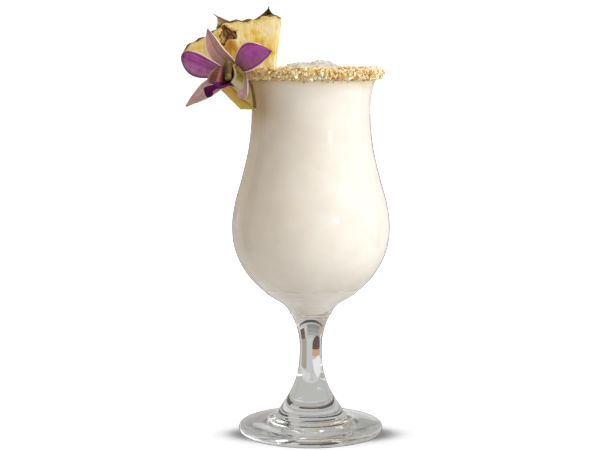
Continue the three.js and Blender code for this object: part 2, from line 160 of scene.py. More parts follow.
def cut_out(piece, cutter):
    """Cuts the cutter's shape out of the piece and deletes the cutter."""
    apply_modifier(piece, "BOOLEAN", operation="DIFFERENCE", object=cutter, solver="EXACT")
    bpy.data.objects.remove(cutter)


def finish_piece(piece, material, slot, *nodes, smooth=True):
    """Gives a piece its material and its place in the frame."""
    faces = len(piece.data.polygons)
    piece.data.materials.append(material)
    piece.data.polygons.foreach_set("use_smooth", [smooth] * faces)
    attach(piece, "root")
    if nodes:
        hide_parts(*nodes)
    print(f"{piece.name}: {faces} faces, {len(material.node_tree.nodes)} nodes in its material")


whole_size = np.subtract(solid_bounds[1], solid_bounds[0]) / MM
print("the whole part is", np.round(whole_size, 1), "mm wide, deep and tall")

# %% [markdown]
# ## Unevenness that repeats
#
# Food is uneven, so nearly every surface here needs random bumps. A hashed lattice gives smooth
# noise from any point and a seed. It needs no stored data, works on all points of a mesh at once
# and comes out the same on every run.

# %% Smooth noise


def lattice_value(ix, iy, iz, seed):
    """A fixed random value from -1 to 1 for each whole-numbered place."""
    mixed = ix * 374761393 + iy * 668265263 + iz * 1440662683 + seed * 974634777
    mixed = (mixed ^ (mixed >> 13)) & 0x7FFFFFFF
    mixed = (mixed * 1274126177) & 0x7FFFFFFF
    mixed = mixed ^ (mixed >> 16)
    return (mixed & 0xFFFF) / 32767.5 - 1


def smooth_step(low, high, value):
    """A share that goes smoothly from 0 at low to 1 at high."""
    share = np.clip((value - low) / (high - low), 0, 1)
    return share * share * (3 - 2 * share)


def noise(points, size, seed):
    """Smooth values from -1 to 1 whose bumps are about size millimetres wide."""
    scaled = np.asarray(points, dtype=float) / size
    whole = np.floor(scaled).astype(np.int64)
    part = smooth_step(0, 1, scaled - whole)
    total = np.zeros(len(scaled))
    for corner in itertools.product((0, 1), repeat=3):
        weight = np.abs(1 - np.array(corner) - part).prod(axis=1)
        total += lattice_value(*(whole + corner).T, seed) * weight
    return total


def layered_noise(points, size, seed, layers=3):
    """Noise with finer and fainter noise on top."""
    return sum(noise(points, size / 2**layer, seed + layer) / 2**layer for layer in range(layers))


print("noise at three places:", np.round(layered_noise(np.eye(3), 2, 1), 2))

# %% [markdown]
# ## Materials from nodes
#
# Each material starts from Blender's Principled shader, and nodes decide its colour from place to
# place. Wiring nodes one by one is long-winded. Two small classes let a recipe be written as a sum
# instead: a value stands for the output of a node, and adding or multiplying values adds the Math
# nodes that do the same.

# %% Values that stand for the outputs of nodes


def colour(tint):
    """Three screen values from 0 to 255, as the linear values of a shader."""
    share = np.array(tint) / 255
    linear = np.where(share <= 0.04045, share / 12.92, ((share + 0.055) / 1.055) ** 2.4)
    return tuple(linear.tolist())


class Value:
    """The output of a node, which can be used like a number."""

    def __init__(self, nodes, socket):
        self.nodes = nodes
        self.socket = socket

    def maths(self, operation, first, second=0.0):
        return self.nodes.node("ShaderNodeMath", 0, {0: first, 1: second}, operation=operation)

    def __add__(self, other):
        return self.maths("ADD", self, other)

    def __sub__(self, other):
        return self.maths("SUBTRACT", self, other)

    def __rsub__(self, other):
        return self.maths("SUBTRACT", other, self)

    def __mul__(self, other):
        return self.maths("MULTIPLY", self, other)

    def __gt__(self, other):
        return self.maths("GREATER_THAN", self, other)

    def __abs__(self):
        return self.maths("ABSOLUTE", self)

    def sine(self):
        return self.maths("SINE", self)

    def larger(self, other):
        """The larger of two values."""
        return self.maths("MAXIMUM", self, other)

    def band(self, start, end):
        """A number that goes smoothly from 0 at start to 1 at end. End may be the lower one."""
        inputs = {"Value": self, "From Min": start, "From Max": end}
        return self.nodes.node("ShaderNodeMapRange", 0, inputs, interpolation_type="SMOOTHSTEP")


print("screen grey 128 is", round(colour((128, 128, 128))[0], 3), "of full light")

# %% [markdown]
# ## Adding nodes in one line
#
# In the shader editor a node is added, set and wired by hand, one socket at a time. In a script
# that takes several lines for each node. Here one method does it all, so that a recipe stays short
# enough to be read as a whole. The materials and the white background both use it.

# %% Add nodes and wire them up


class Nodes:
    """Adds nodes to a tree and wires them up."""

    def __init__(self, tree):
        self.tree = tree

    def put(self, socket, value):
        """Wires a value into a socket, or sets the socket to a plain number or colour."""
        if isinstance(value, Value):
            self.tree.links.new(value.socket, socket)
        elif socket.type == "RGBA":
            socket.default_value = (*value, 1)
        else:
            socket.default_value = value

    def node(self, kind, output=0, inputs=None, **settings):
        made = self.tree.nodes.new(kind)
        for key, value in settings.items():
            setattr(made, key, value)
        for key, value in (inputs or {}).items():
            self.put(made.inputs[key], value)
        return Value(self, made.outputs[output])

    def mix(self, share, first, second):
        """The first colour where share is 0 and the second where it is 1."""
        return self.node("ShaderNodeMix", 2, {0: share, 6: first, 7: second}, data_type="RGBA")


# %% [markdown]
# ## A short way to write a recipe
#
# A recipe makes one material. It offers the few textures that food and glass need here: specks of
# noise, a ramp of colours, a blend of two and a bump. Numbers stored on the points of a mesh, such
# as the distance from the rind, tell a recipe where it is, so the colours stay on the object.

# %% Recipes for materials


class Recipe(Nodes):
    """A new material with a Principled shader. Its plain tints are screen values."""

    def __init__(self, name):
        self.material = bpy.data.materials.new(name)
        self.material.use_nodes = True
        super().__init__(self.material.node_tree)
        self.shader = self.tree.nodes["Principled BSDF"]

    def shade(self, **inputs):
        """Sets the shader's own sockets, with underscores for spaces."""
        for key, value in inputs.items():
            self.put(self.shader.inputs[key.replace("_", " ")], value)
        return self.material

    def stored(self, name):
        """Numbers that paint_points stored on the piece."""
        return self.node("ShaderNodeAttribute", "Fac", attribute_name=name)

    def place(self):
        return self.node("ShaderNodeTexCoord", "Object")

    def along_axis(self, axis):
        """The object's own X, Y or Z, in millimetres."""
        return self.node("ShaderNodeSeparateXYZ", axis, {0: self.place()}) * (1 / MM)

    def speckle(self, scale, detail=4, roughness=0.55, shift=0):
        """Specks of noise, from another part of the texture where shift isn't 0."""
        vector = self.place()
        if shift:
            vector = self.node("ShaderNodeVectorMath", 0, {0: vector, 1: (shift,) * 3}, operation="ADD")
        inputs = {"Vector": vector, "Scale": scale, "Detail": detail, "Roughness": roughness}
        return self.node("ShaderNodeTexNoise", 0, inputs)

    def ramp(self, value, *stops, convert=colour):
        """A colour ramp with stops as pairs of place and tint."""
        made = self.tree.nodes.new("ShaderNodeValToRGB")
        elements = made.color_ramp.elements
        while len(elements) < len(stops):
            elements.new(0.5)
        for element, (place, tint) in zip(elements, stops):
            element.position = place
            element.color = (*convert(tint), 1)
        self.put(made.inputs["Fac"], value)
        return Value(self, made.outputs["Color"])

    def blend(self, share, first, second):
        """The first tint where share is 0 and the second where it is 1."""
        tints = [colour(tint) if isinstance(tint, tuple) else tint for tint in (first, second)]
        return self.mix(share, *tints)

    def bump(self, height, distance, strength=1.0):
        inputs = {"Height": height, "Distance": distance * MM, "Strength": strength}
        return self.node("ShaderNodeBump", 0, inputs)


def soft(weight, *reach):
    """Settings for light that enters a thing: how much, and how deep in red, green and blue."""
    radius = tuple(depth * MM for depth in reach)
    return dict(Subsurface_Weight=weight, Subsurface_Radius=radius, Subsurface_Scale=1.0)


print("light enters cream by up to", soft(0.35, 4, 3, 2)["Subsurface_Radius"][0], "m")

# %% [markdown]
# ## The glass's outline
#
# The glass is blown or pressed and fully round, so its outline turned about the upright axis
# gives all of it. A few stations of radius and height fix the outline, and a smooth curve joins
# them. It could also be drawn as a Blender curve with a Screw modifier. Working the profile out in
# code lets the drink and the sugar crust reuse exactly the same wall.

# %% Draw the outline
GLASS_HEIGHT = node_box("glass")[1][2]
LIP_HEIGHT = 1.27
RIM_RADIUS = 33.1
BELLY_HEIGHT = 105.9
OUTSIDE_STATIONS = np.array(
    [
        (RIM_RADIUS, GLASS_HEIGHT - LIP_HEIGHT), (30.4, 172.5), (29.7, 160.5), (31.2, 145.4),
        (34.7, 130.3), (38.2, 117.5), (39.7, BELLY_HEIGHT), (38.1, 93.7), (31.8, 81.4),
        (21.6, 71.4), (13.2, 65.7), (8.5, 58.3), (6.1, 50.5), (5.5, 44.2), (6.4, 31.8),
        (9.5, 22.4), (15.1, 13), (17.6, 9.6),
    ]
)
STEPS_PER_STATION = 8


def unit(vectors):
    """Vectors of the same directions and of length one."""
    return vectors / np.maximum(np.linalg.norm(vectors, axis=-1, keepdims=True), 1e-9)


def curve_through(points, steps, centripetal=True):
    """A smooth curve through points, with steps points between two of them.

    Between two points it leaves and arrives along their neighbours' directions. A centripetal
    curve takes the distances into account, so that it never loops at a close pair."""
    points = np.asarray(points, dtype=float)
    first = 2 * points[0] - points[1]
    last = 2 * points[-1] - points[-2]
    padded = np.vstack([first, points, last])
    share = np.linspace(0, 1, steps, endpoint=False)[:, None]
    pieces = []
    for p0, p1, p2, p3 in zip(padded, padded[1:], padded[2:], padded[3:]):
        leave = (p2 - p0) / 2
        arrive = (p3 - p1) / 2
        if centripetal:
            a, b, c = (np.linalg.norm(q - p) ** 0.5 for p, q in ((p0, p1), (p1, p2), (p2, p3)))
            leave = ((p1 - p0) / a - (p2 - p0) / (a + b) + (p2 - p1) / b) * b
            arrive = ((p2 - p1) / b - (p3 - p1) / (b + c) + (p3 - p2) / c) * b
        square = share**2
        cube = share**3
        part = (2 * cube - 3 * square + 1) * p1 + (cube - 2 * square + share) * leave
        pieces.append(part + (3 * square - 2 * cube) * p2 + (cube - square) * arrive)
    return np.vstack([*pieces, points[-1:]])


outside = curve_through(OUTSIDE_STATIONS, STEPS_PER_STATION)
print("outline points:", len(outside))

# %% [markdown]
# ## The wall and the cavity
#
# The wall is about two millimetres thick at the rim and grows much thicker below the belly. The
# inside is the outline moved inward by that thickness, square to itself, and a smooth bowl closes
# it at the bottom. A Solidify modifier gives one thickness everywhere, unless weights are painted
# for it, so the wall is worked out from the height instead.

# %% Draw the wall and the cavity
WALL_AT_RIM = 2.1
WALL_AT_BELLY = 2.4
WALL_AT_BOTTOM = 5
CAVITY_FLOOR = 61.2
CAVITY_END_STATION = 9
FLOOR_STEPS = 24


def radius_at(height, outline):
    """The radius at a height of an outline that runs from the top down."""
    return np.interp(-height, -outline[:, 1], outline[:, 0])


def wall_thickness(height):
    upper = (height - BELLY_HEIGHT) / (GLASS_HEIGHT - BELLY_HEIGHT)
    bowl_end = OUTSIDE_STATIONS[CAVITY_END_STATION][1]
    lower = np.clip((BELLY_HEIGHT - height) / (BELLY_HEIGHT - bowl_end), 0, None)
    above = WALL_AT_BELLY + (WALL_AT_RIM - WALL_AT_BELLY) * upper
    below = WALL_AT_BELLY + (WALL_AT_BOTTOM - WALL_AT_BELLY) * lower**3
    return np.where(height > BELLY_HEIGHT, above, below)


def inside_wall(extra=0.0):
    """The cavity's outline from the rim to the middle of its floor, moved inward by extra."""
    last = CAVITY_END_STATION * STEPS_PER_STATION
    heading = unit(np.gradient(outside, axis=0))
    inset = (wall_thickness(outside[:, 1]) + extra)[:, None]
    wall = (outside + heading[:, ::-1] * [1, -1] * inset)[: last + 1]
    floor = CAVITY_FLOOR + extra
    start = wall[-1]
    slope = heading[last][0] / heading[last][1]
    corner = np.array([start[0] - (start[1] - floor) * slope, floor])
    share = np.linspace(0, 1, FLOOR_STEPS + 1)[1:, None]
    bowl = (1 - share) ** 2 * start + 2 * share * (1 - share) * corner
    return np.vstack([wall, bowl + share**2 * np.array([0, floor])])


print("cavity points:", len(inside_wall()))

# %% [markdown]
# ## A lathe in code
#
# Everything round here is made as on a lathe: each point of a profile is copied round the axis. A
# solid runs from the axis out and back to it, and a ring closes on itself without reaching it.
# Blender's Spin tool does the same, but a few lines of numpy can also vary the profile on its way.

# %% Spin profiles about the axis


def round_angles(count):
    """Angles all the way round, in radians."""
    return np.linspace(0, 2 * math.pi, count, endpoint=False)


def spin(radius, height, angle):
    """Points at radii and heights, turned to angles about Z."""
    x_y_z = np.broadcast_arrays(radius * np.cos(angle), radius * np.sin(angle), height)
    return np.stack(x_y_z, axis=-1)


def solid_of_profile(name, profile, around):
    """A closed solid. Its profile runs from one point on the axis to another."""
    count = len(profile) - 2
    side = spin(*profile[1:-1].T, round_angles(around)[:, None])
    ends = [[0, 0, profile[0][1]], [0, 0, profile[-1][1]]]
    faces = grid_faces(around, count, wrap_rows=True).tolist()
    first = around * count
    for i in range(around):
        after = (i + 1) % around
        faces.append([first, after * count, i * count])
        faces.append([first + 1, i * count + count - 1, after * count + count - 1])
    return make_mesh(name, np.vstack([side.reshape(-1, 3), ends]), faces, closed=True)


def ring_of_section(name, radius, height, around):
    """A closed ring. The radii and heights of its section may change on the way round."""
    points = spin(radius, height, round_angles(around)[:, None])
    faces = grid_faces(around, points.shape[1], wrap_rows=True, wrap_columns=True)
    return make_mesh(name, points, faces, closed=True)


def arc(centre, radius, start, end, steps):
    """Points on an arc, with angles in degrees."""
    angle = np.radians(np.linspace(start, end, steps + 1))
    return np.column_stack([centre[0] + radius * np.cos(angle), centre[1] + radius * np.sin(angle)])


print("quarter of a turn:", np.round(spin(1, 0, math.pi / 2), 3))

# %% [markdown]
# ## Turning the glass
#
# The lip is a half circle, and the foot has a round edge and two low steps where the stem's flare
# meets it. Two fine mould seams run round the thick bottom of the bowl. A bump in the material
# could draw them, but a real ridge also bends what is seen through it. They are only about 0.3 mm
# proud, so the outline is drawn finely at them and coarsely everywhere else.

# %% Turn the glass
FOOT_RADIUS = 36.6
FOOT_EDGE = 4.7
SEAMS = [dict(height=72, proud=0.28, width=0.3), dict(height=61.4, proud=0.3, width=0.4)]
SEAM_STEPS = 240
PLAIN_STEP = 16
GLASS_AROUND = 160


def foot_outline():
    """The foot from the middle of its underside out, round its edge and in to the shoulder."""
    half = FOOT_EDGE / 2
    edge = arc((FOOT_RADIUS - half, half), half, -90, 82, 16)
    top = curve_through([edge[-1], [30, 5.4], [24.6, 6]], 6)
    step = curve_through([[23, 6.35], [21.6, 6.75], [21.1, 7.4], [20.3, 7.9]], 4)
    ledge = curve_through([[19.2, 8.15], [18.5, 8.5], [18.1, 9.1]], 4)
    hollow = curve_through([[0, 1.7], [12, 1.5], [22, 0.9], [30, 0.25], [33, 0.02]], 6)
    return np.vstack([hollow, edge, top, step, ledge])


def outline_with_seams():
    """The outside from the top down, with every fine point kept only near a seam."""
    dense = curve_through(OUTSIDE_STATIONS, SEAM_STEPS)
    near_seam = np.zeros(len(dense), dtype=bool)
    for seam in SEAMS:
        away = (dense[:, 1] - seam["height"]) / seam["width"]
        dense[:, 0] += seam["proud"] * np.exp(-away * away)
        near_seam |= np.abs(away) < 3
    step = np.where(near_seam, 1, PLAIN_STEP)
    return dense[np.arange(len(dense)) % step == 0]


def glass_profile():
    outer = outline_with_seams()
    inner = inside_wall()
    lip_centre = (outer[0] + inner[0]) / 2
    lip_radius = np.linalg.norm(outer[0] - inner[0]) / 2
    tilt = math.degrees(math.atan2(*(outer[0] - lip_centre)[::-1]))
    lip = arc(lip_centre, lip_radius, tilt, tilt + 180, 12)[1:-1]
    return np.vstack([foot_outline(), outer[::-1], lip, inner])


glass = solid_of_profile("tulip_glass", glass_profile(), GLASS_AROUND)
print("the foot is", 2 * FOOT_RADIUS, "mm across")

# %% [markdown]
# ## Clear glass
#
# Clear soda glass bends and mirrors light, which a Principled shader with full transmission does.
# Two things are added. Lamps and soft light pass straight through, because a path tracer would
# need very long to light the drink through bent glass. And a ray that was mirrored a few times
# inside the glass leaves it unbent, because Blender drops a ray after four mirrorings and the
# stem and foot would show black spots there.

# %% Make the glass clear
GLASS_INDEX = 1.5
MOST_MIRRORINGS = 3.5


def clear_glass():
    recipe = Recipe("clear_glass")
    clear = dict(Roughness=0.0, IOR=GLASS_INDEX, Transmission_Weight=1.0)
    recipe.shade(Base_Color=(0.97, 0.985, 0.98), **clear)
    surface = Value(recipe, recipe.shader.outputs["BSDF"])
    unbent_inputs = {"Color": (0.85, 0.85, 0.84), "Roughness": 0.0, "IOR": 1.0}
    unbent = recipe.node("ShaderNodeBsdfRefraction", 0, unbent_inputs)
    late = recipe.node("ShaderNodeLightPath", "Glossy Depth") > MOST_MIRRORINGS
    surface = recipe.node("ShaderNodeMixShader", 0, {0: late, 1: surface, 2: unbent})
    through = recipe.node("ShaderNodeBsdfTransparent", 0, {"Color": (0.93, 0.94, 0.935)})
    for ray in ("Is Diffuse Ray", "Is Shadow Ray"):
        share = recipe.node("ShaderNodeLightPath", ray)
        surface = recipe.node("ShaderNodeMixShader", 0, {0: share, 1: surface, 2: through})
    recipe.put(recipe.tree.nodes["Material Output"].inputs["Surface"], surface)
    return recipe.material


finish_piece(glass, clear_glass(), "glass", "glass")

# %% [markdown]
# ## Air trapped at the joints
#
# The bowl and its stem are fused from two gathers of glass. A hair of air stays in the joint and
# shows as a broken bright and dark line. Each one is a ring of uneven thickness inside the wall,
# because a line painted on the outside would not glint. Its material has the index of air seen
# from glass.

# %% Lay the air lines
AIR_LINES = {
    "air_line_bowl": dict(height=75.2, inset=1.2, thickness=0.42, seed=3),
    "air_line_stem": dict(height=61.9, inset=1.1, thickness=0.26, seed=5),
}


def air_line(name, height, inset, thickness, seed, around=360, sides=8):
    """A ring of air inside the wall, thicker and thinner along its way."""
    nearest = np.argmin(np.abs(outside[:, 1] - height))
    heading = unit(outside[nearest + 1] - outside[nearest - 1])
    radius = radius_at(height, outside)
    way = spin(radius, 0, round_angles(around))
    uneven = np.clip(0.6 + 0.7 * layered_noise(way, 4, seed), 0.15, 1.2)
    tube = uneven[:, None] * thickness
    turned = round_angles(sides)
    tube_radius = radius + inset * heading[1] + tube * np.cos(turned)
    tube_height = height - inset * heading[0] + tube * np.sin(turned)
    return ring_of_section(name, tube_radius, tube_height, around)


def air_in_glass():
    clear = dict(Roughness=0.0, IOR=1 / GLASS_INDEX, Transmission_Weight=1.0)
    return Recipe("trapped_air").shade(Base_Color=(1, 1, 1), **clear)


trapped_air = air_in_glass()
for name, form in AIR_LINES.items():
    finish_piece(air_line(name, **form), trapped_air, "glass")

# %% [markdown]
# ## The drink
#
# Blended coconut cream and juice is opaque and a little soft: light enters a millimetre or two and
# comes out again. Subsurface scattering does that. In a band just under the crust the cream is
# painted warmer and brighter. This painted golden light stands for light bounced from the sugar and
# also lightens the crust's shadow. Beside the fruit the cream takes a painted reflection and shade
# of the fruit. A Boolean with the glass could shape the drink, but the cavity's own outline is at
# hand and is spun again. It is spun a hair wider, into the glass, so that no air gap glints between
# the two.

# %% Fill the bowl
WALL_OVERLAP = 0.12
DRINK_TOP = node_box("drink")[1][2]
PAINTED_BOUNCE_BAND = (175.2, 179.7)
DRINK_AROUND = 180


def cream():
    recipe = Recipe("coconut_cream")
    mottle = recipe.speckle(90, detail=5)
    tint = recipe.ramp(mottle, (0.35, (240, 232, 222)), (0.65, (245, 239, 231)))
    # Painted light: a warmer, brighter band just under the crust stands for golden light bounced from
    # the sugar, and it lightens the crust's shadow.
    tint = recipe.blend(recipe.along_axis("Z").band(*PAINTED_BOUNCE_BAND), tint, (255, 240, 212))
    # Painted reflection and shade of the fruit: a brown tint on the cream beside the wedge.
    tint = recipe.blend(recipe.stored("near_fruit") * 0.75, tint, (206, 168, 106))
    fine = recipe.speckle(900, detail=2)
    normal = recipe.bump(fine, 0.05, 0.4)
    return recipe.shade(Base_Color=tint, Roughness=0.4, Normal=normal, **soft(0.35, 4, 3, 2))


def drink_profile():
    wall = inside_wall(-WALL_OVERLAP)
    wall = wall[wall[:, 1] < DRINK_TOP]
    return np.vstack([(0, DRINK_TOP), (wall[0][0], DRINK_TOP), wall])


drink = solid_of_profile("cream_drink", drink_profile(), DRINK_AROUND)
print("the drink is", round(DRINK_TOP - CAVITY_FLOOR, 1), "mm deep")

# %% [markdown]
# ## Where the pineapple wedge sits
#
# The wedge stands upright on the wall at the left and is turned a little about the upright axis.
# It could be parented to an empty that is moved and turned. Two small functions do the same sum,
# one forward and one back, because the drink, the crust and the colours also need to know how far
# they are from the fruit.

# %% Where the wedge lies
WEDGE_RADIUS = 58.3
WEDGE_APEX = np.array([-21.7, 152.4])
WEDGE_LEFT = 45.6
WEDGE_RIGHT = 6.7
WEDGE_CORE_CUT = 165
WEDGE_THICKNESS = 10
WEDGE_PIVOT = -31
WEDGE_FORWARD = 4.5
WEDGE_YAW = math.radians(-5)
CLEARANCE = 0.3


def turned_about_z(points, yaw):
    """Points turned about the upright axis, with the angle in radians."""
    x, y, z = np.asarray(points, dtype=float).T
    turned_x = x * math.cos(yaw) - y * math.sin(yaw)
    turned_y = x * math.sin(yaw) + y * math.cos(yaw)
    return np.column_stack([turned_x, turned_y, z])


def onto_rim(points):
    """Turns points of the upright slice to where the wedge sits on the rim."""
    turned = turned_about_z(points - np.array([WEDGE_PIVOT, 0, 0]), WEDGE_YAW)
    return turned + [WEDGE_PIVOT, -WEDGE_FORWARD, 0]


def from_place(points, place):
    """How far points lie across, above and behind a place in the upright slice's own plane."""
    flat = turned_about_z(points - np.array([WEDGE_PIVOT, -WEDGE_FORWARD, 0]), -WEDGE_YAW)
    across, depth, height = flat.T
    return across + WEDGE_PIVOT - place[0], height - place[1], depth


print("the wedge is turned by", round(math.degrees(WEDGE_YAW)), "degrees about the upright axis")

# %% [markdown]
# ## The pineapple wedge's outline
#
# A pineapple slice is a disc with a knobbly rind, and the wedge is a sector of it with the hard
# core cut away. The sector is worked out from its radius, its apex and two angles. Its rind
# swells over each eye, which a few cosines give.

# %% Draw the wedge's outline
EYE_SWELL = 0.8
EYE_SPACING = 22
KNOB_SWELL = 0.35
KNOB_SPACING = 6.4
RIND_ROUNDING = 0.35


def rind_radius(angle, depth):
    """Distance from the apex to the rind, by the angle in degrees and the depth."""
    eyes = EYE_SWELL * np.cos(2 * math.pi * (angle - 2.5) / EYE_SPACING)
    knobs = KNOB_SWELL * np.cos(2 * math.pi * (angle + 28.6) / KNOB_SPACING + depth * 0.35)
    round_off = RIND_ROUNDING * (depth / (WEDGE_THICKNESS / 2)) ** 2
    return WEDGE_RADIUS + eyes + knobs - round_off


def sector_outline(grow=0.0, steps=90):
    """The wedge's outline in x and z, grown by some millimetres."""
    half = math.radians((WEDGE_LEFT + WEDGE_RIGHT) / 2)
    middle = math.radians((WEDGE_LEFT - WEDGE_RIGHT) / 2)
    shift = grow / math.sin(half)
    apex = WEDGE_APEX + shift * np.array([math.sin(middle), -math.cos(middle)])
    length = WEDGE_CORE_CUT - grow - apex[1]
    angle = np.linspace(WEDGE_RIGHT, -WEDGE_LEFT, steps)
    reach = rind_radius(angle, 0) + shift + grow
    turned = np.radians(angle)
    rind = apex + reach[:, None] * np.column_stack([np.sin(turned), np.cos(turned)])
    right = apex + length * np.array([math.tan(math.radians(WEDGE_RIGHT)), 1])
    left = apex + length * np.array([-math.tan(math.radians(WEDGE_LEFT)), 1])
    return np.vstack([right, rind, left])


print("the wedge's outline has", len(sector_outline()), "points")

# %% [markdown]
# ## Room for the wedge
#
# The wedge is a slab: its outline, given a depth. The same slab, grown by a small clearance, is the
# cutter that makes room for the wedge in the drink, in the ice and in the crust. A Boolean keeps
# them apart exactly. The cream beside the fruit takes a painted reflection and shade of it, so the
# drink also stores how near the fruit is.

# %% Cut the drink round the wedge
FRUIT_REFLECTION_REACH = 7.5


def slab(name, outline, depth):
    """An outline in x and z, made depth thick across y and set on the rim."""
    count = len(outline)
    front = np.column_stack([outline[:, 0], np.full(count, -depth / 2), outline[:, 1]])
    points = onto_rim(np.vstack([front, front * [1, -1, 1]]))
    faces = [list(range(count)), list(range(2 * count - 1, count - 1, -1))]
    for i in range(count):
        after = (i + 1) % count
        faces.append([i, i + count, after + count, after])
    return make_mesh(name, points, faces, closed=True)


def wedge_cutter():
    """The wedge with the small clearance that its neighbours keep."""
    return slab("cutter", sector_outline(CLEARANCE), WEDGE_THICKNESS + 2 * CLEARANCE)


def painted_fruit_reflection(points):
    """How much painted reflection and shade of the fruit the cream takes, by its distance from the
    wedge.
    """
    across, up, depth = from_place(points, WEDGE_APEX)
    beside = np.maximum(across - up * math.tan(math.radians(WEDGE_RIGHT)), 0)
    before = np.maximum(np.abs(depth) - WEDGE_THICKNESS / 2, 0) * 0.35
    under = np.maximum(WEDGE_CORE_CUT - WEDGE_APEX[1] - up, 0)
    return np.exp(-(((beside + before + under) / FRUIT_REFLECTION_REACH) ** 1.5))


cut_out(drink, wedge_cutter())
paint_points(drink, near_fruit=painted_fruit_reflection(read_points(drink)))
finish_piece(drink, cream(), "drink", "drink")

# %% [markdown]
# ## Cutting the wedge
#
# The slab is slotted where the glass's wall passes through it. A voxel remesh then turns it into
# an even skin of small faces, which rounds the cut edges a little, as wet fruit is, and gives
# enough points for fibres and pores to be pressed in. A Subdivision modifier would need clean
# quads, which a slab with a slot cut out of it doesn't have.

# %% Slot the wedge on the wall
FLESH_VOXEL = 0.36
SLOT_FROM = 150


def wall_ring(grow):
    """The upper wall of the glass, grown on both sides and over the lip, as a cutter."""
    outer = outside[outside[:, 1] > SLOT_FROM] + [grow, 0]
    inner = inside_wall()
    inner = inner[inner[:, 1] > SLOT_FROM] - [grow, 0]
    top = GLASS_HEIGHT + grow
    section = np.vstack([outer[::-1], (outer[0][0], top), (inner[0][0], top), inner])
    return ring_of_section("cutter", *section.T, 120)


wedge = slab("pineapple_flesh", sector_outline(), WEDGE_THICKNESS)
cut_out(wedge, wall_ring(CLEARANCE))
apply_modifier(wedge, "REMESH", mode="VOXEL", voxel_size=FLESH_VOXEL * MM)
print("wedge points:", len(wedge.data.vertices))

# %% [markdown]
# ## Fibres and the dried eye
#
# Cut pineapple has fine fibres that run from the core to the rind, and the dried eye near the
# rind is a fan of sunken folds round one root. Both are made of noise. Noise on plain x, y and z
# would lie one way all over, so the fibres are drawn by angle and distance from the slice's
# middle and the folds by those from the eye's root. Both then fan out as real ones do.

# %% Find the fibres and the dried eye
FIBRE_SIZE = 1.1
EYE_ROOT = np.array([-42.9, 206.8])
EYE_REACH = 8.5
EYE_FAN = (-106, -25)


def from_apex(points):
    """Angle in degrees, distance and depth of points, seen from the slice's middle."""
    across, up, depth = from_place(points, WEDGE_APEX)
    return np.degrees(np.arctan2(across, up)), np.hypot(across, up), depth


def eye_place(points):
    """Angle round the root of the dried eye in degrees, and distance from it in reaches."""
    across, up, _ = from_place(points, EYE_ROOT)
    return np.degrees(np.arctan2(up, across)), np.hypot(across, up) / EYE_REACH


def eye_distance(points):
    """How far points lie out of the eye's fan: under 0 inside it, 0 on its edge."""
    angle, reach = eye_place(points)
    low, high = EYE_FAN
    beside = np.maximum(low - angle, angle - high) * math.pi / 180 * np.maximum(reach, 0.15)
    return np.maximum(beside, reach - 1 + 0.1 * np.sin(np.radians(angle) * 9))


def eye_streaks(points):
    """Dry folds that fan out from the eye's root."""
    angle, reach = eye_place(points)
    return noise(np.column_stack([angle / 11, reach * 2.2, 0 * reach]), 1, 97)


def fibres(angle, distance, depth):
    """Fine ridges that run from the core to the rind, with gaps along them."""
    across = angle * distance * math.pi / 180 / FIBRE_SIZE
    warped = np.column_stack([across, distance / 9, depth / 6])
    return noise(warped, 1, 41) + 0.6 * noise(warped * [2.1, 1.7, 2], 1, 43)


in_eye = (eye_distance(read_points(wedge)) < 0).sum()
print("points in the dried eye, front and back:", in_eye)

# %% [markdown]
# ## Relief on real points
#
# A bump in a material only changes how light falls, and the outline stays smooth. Fibres, pores,
# knobs and the sunken eye are therefore pressed into the mesh: each point moves along its normal
# by the sum of them all. They could be sculpted too, but a sum is easily changed and run again.

# %% Press the flesh
FIBRE_RELIEF = 0.09
PORE_SIZE = 1.3
PORE_DEPTH = 0.1
KNOB_SIZE = 2.2
KNOB_RELIEF = 0.28
EYE_DEPTH = 0.9
FOLD_RELIEF = 0.55


def press_flesh(piece):
    """Presses fibres, pores and the eye into the cut faces, and knobs into the rind."""
    points = read_points(piece)
    normals = np.array([point.normal for point in piece.data.vertices])
    angle, distance, depth = from_apex(points)
    near_rind = smooth_step(-2.2, -0.6, distance - rind_radius(angle, depth))
    pores = PORE_DEPTH * smooth_step(0.45, 0.8, noise(points, PORE_SIZE, 51))
    relief = (FIBRE_RELIEF * fibres(angle, distance, depth) - pores) * (1 - near_rind)
    relief += KNOB_RELIEF * layered_noise(points, KNOB_SIZE, 61) * near_rind
    eye = smooth_step(0.02, -0.16, eye_distance(points)) * smooth_step(-3.5, -4.7, depth)
    relief += (FOLD_RELIEF * eye_streaks(points) - EYE_DEPTH) * eye
    points = (points + normals * relief[:, None]) * MM
    piece.data.vertices.foreach_set("co", points.ravel())
    piece.data.update()


before = read_points(wedge)
press_flesh(wedge)
print("deepest relief:", round(np.abs(read_points(wedge) - before).max(), 2), "mm")

# %% [markdown]
# ## Numbers that tell where the flesh is
#
# The fruit's colour depends on the place: near the rind or the eye, along a fibre, or in the low
# point of the wedge. An image painted by hand would do as well, but numbers stored on the points
# tell where each part is from every side, and need no unwrapping.

# %% Store distances on the wedge


def store_places(piece):
    """Stores on the wedge's points how far they are from its rind, eye, edges and core."""
    points = read_points(piece)
    angle, distance, depth = from_apex(points)
    ragged = 0.5 * layered_noise(points, 1.8, 81)
    fan, reach = eye_place(points)
    paint_points(
        piece,
        from_rind=rind_radius(angle, depth) - distance + ragged,
        fibre=0.5 + 0.35 * fibres(angle, distance, depth),
        eye=eye_distance(points) + 0.12 * layered_noise(points, 1.5, 91),
        eye_fan=fan,
        eye_reach=reach,
        eye_streak=0.5 + 0.5 * eye_streaks(points),
        depth=depth,
        low=1 - smooth_step(174, 184, points[:, 2] + ragged),
        from_left=distance * np.sin(np.radians(WEDGE_LEFT + angle)),
        from_core=points[:, 2] - WEDGE_CORE_CUT,
    )


store_places(wedge)
print("numbers stored on the wedge:", len(wedge.data.attributes))

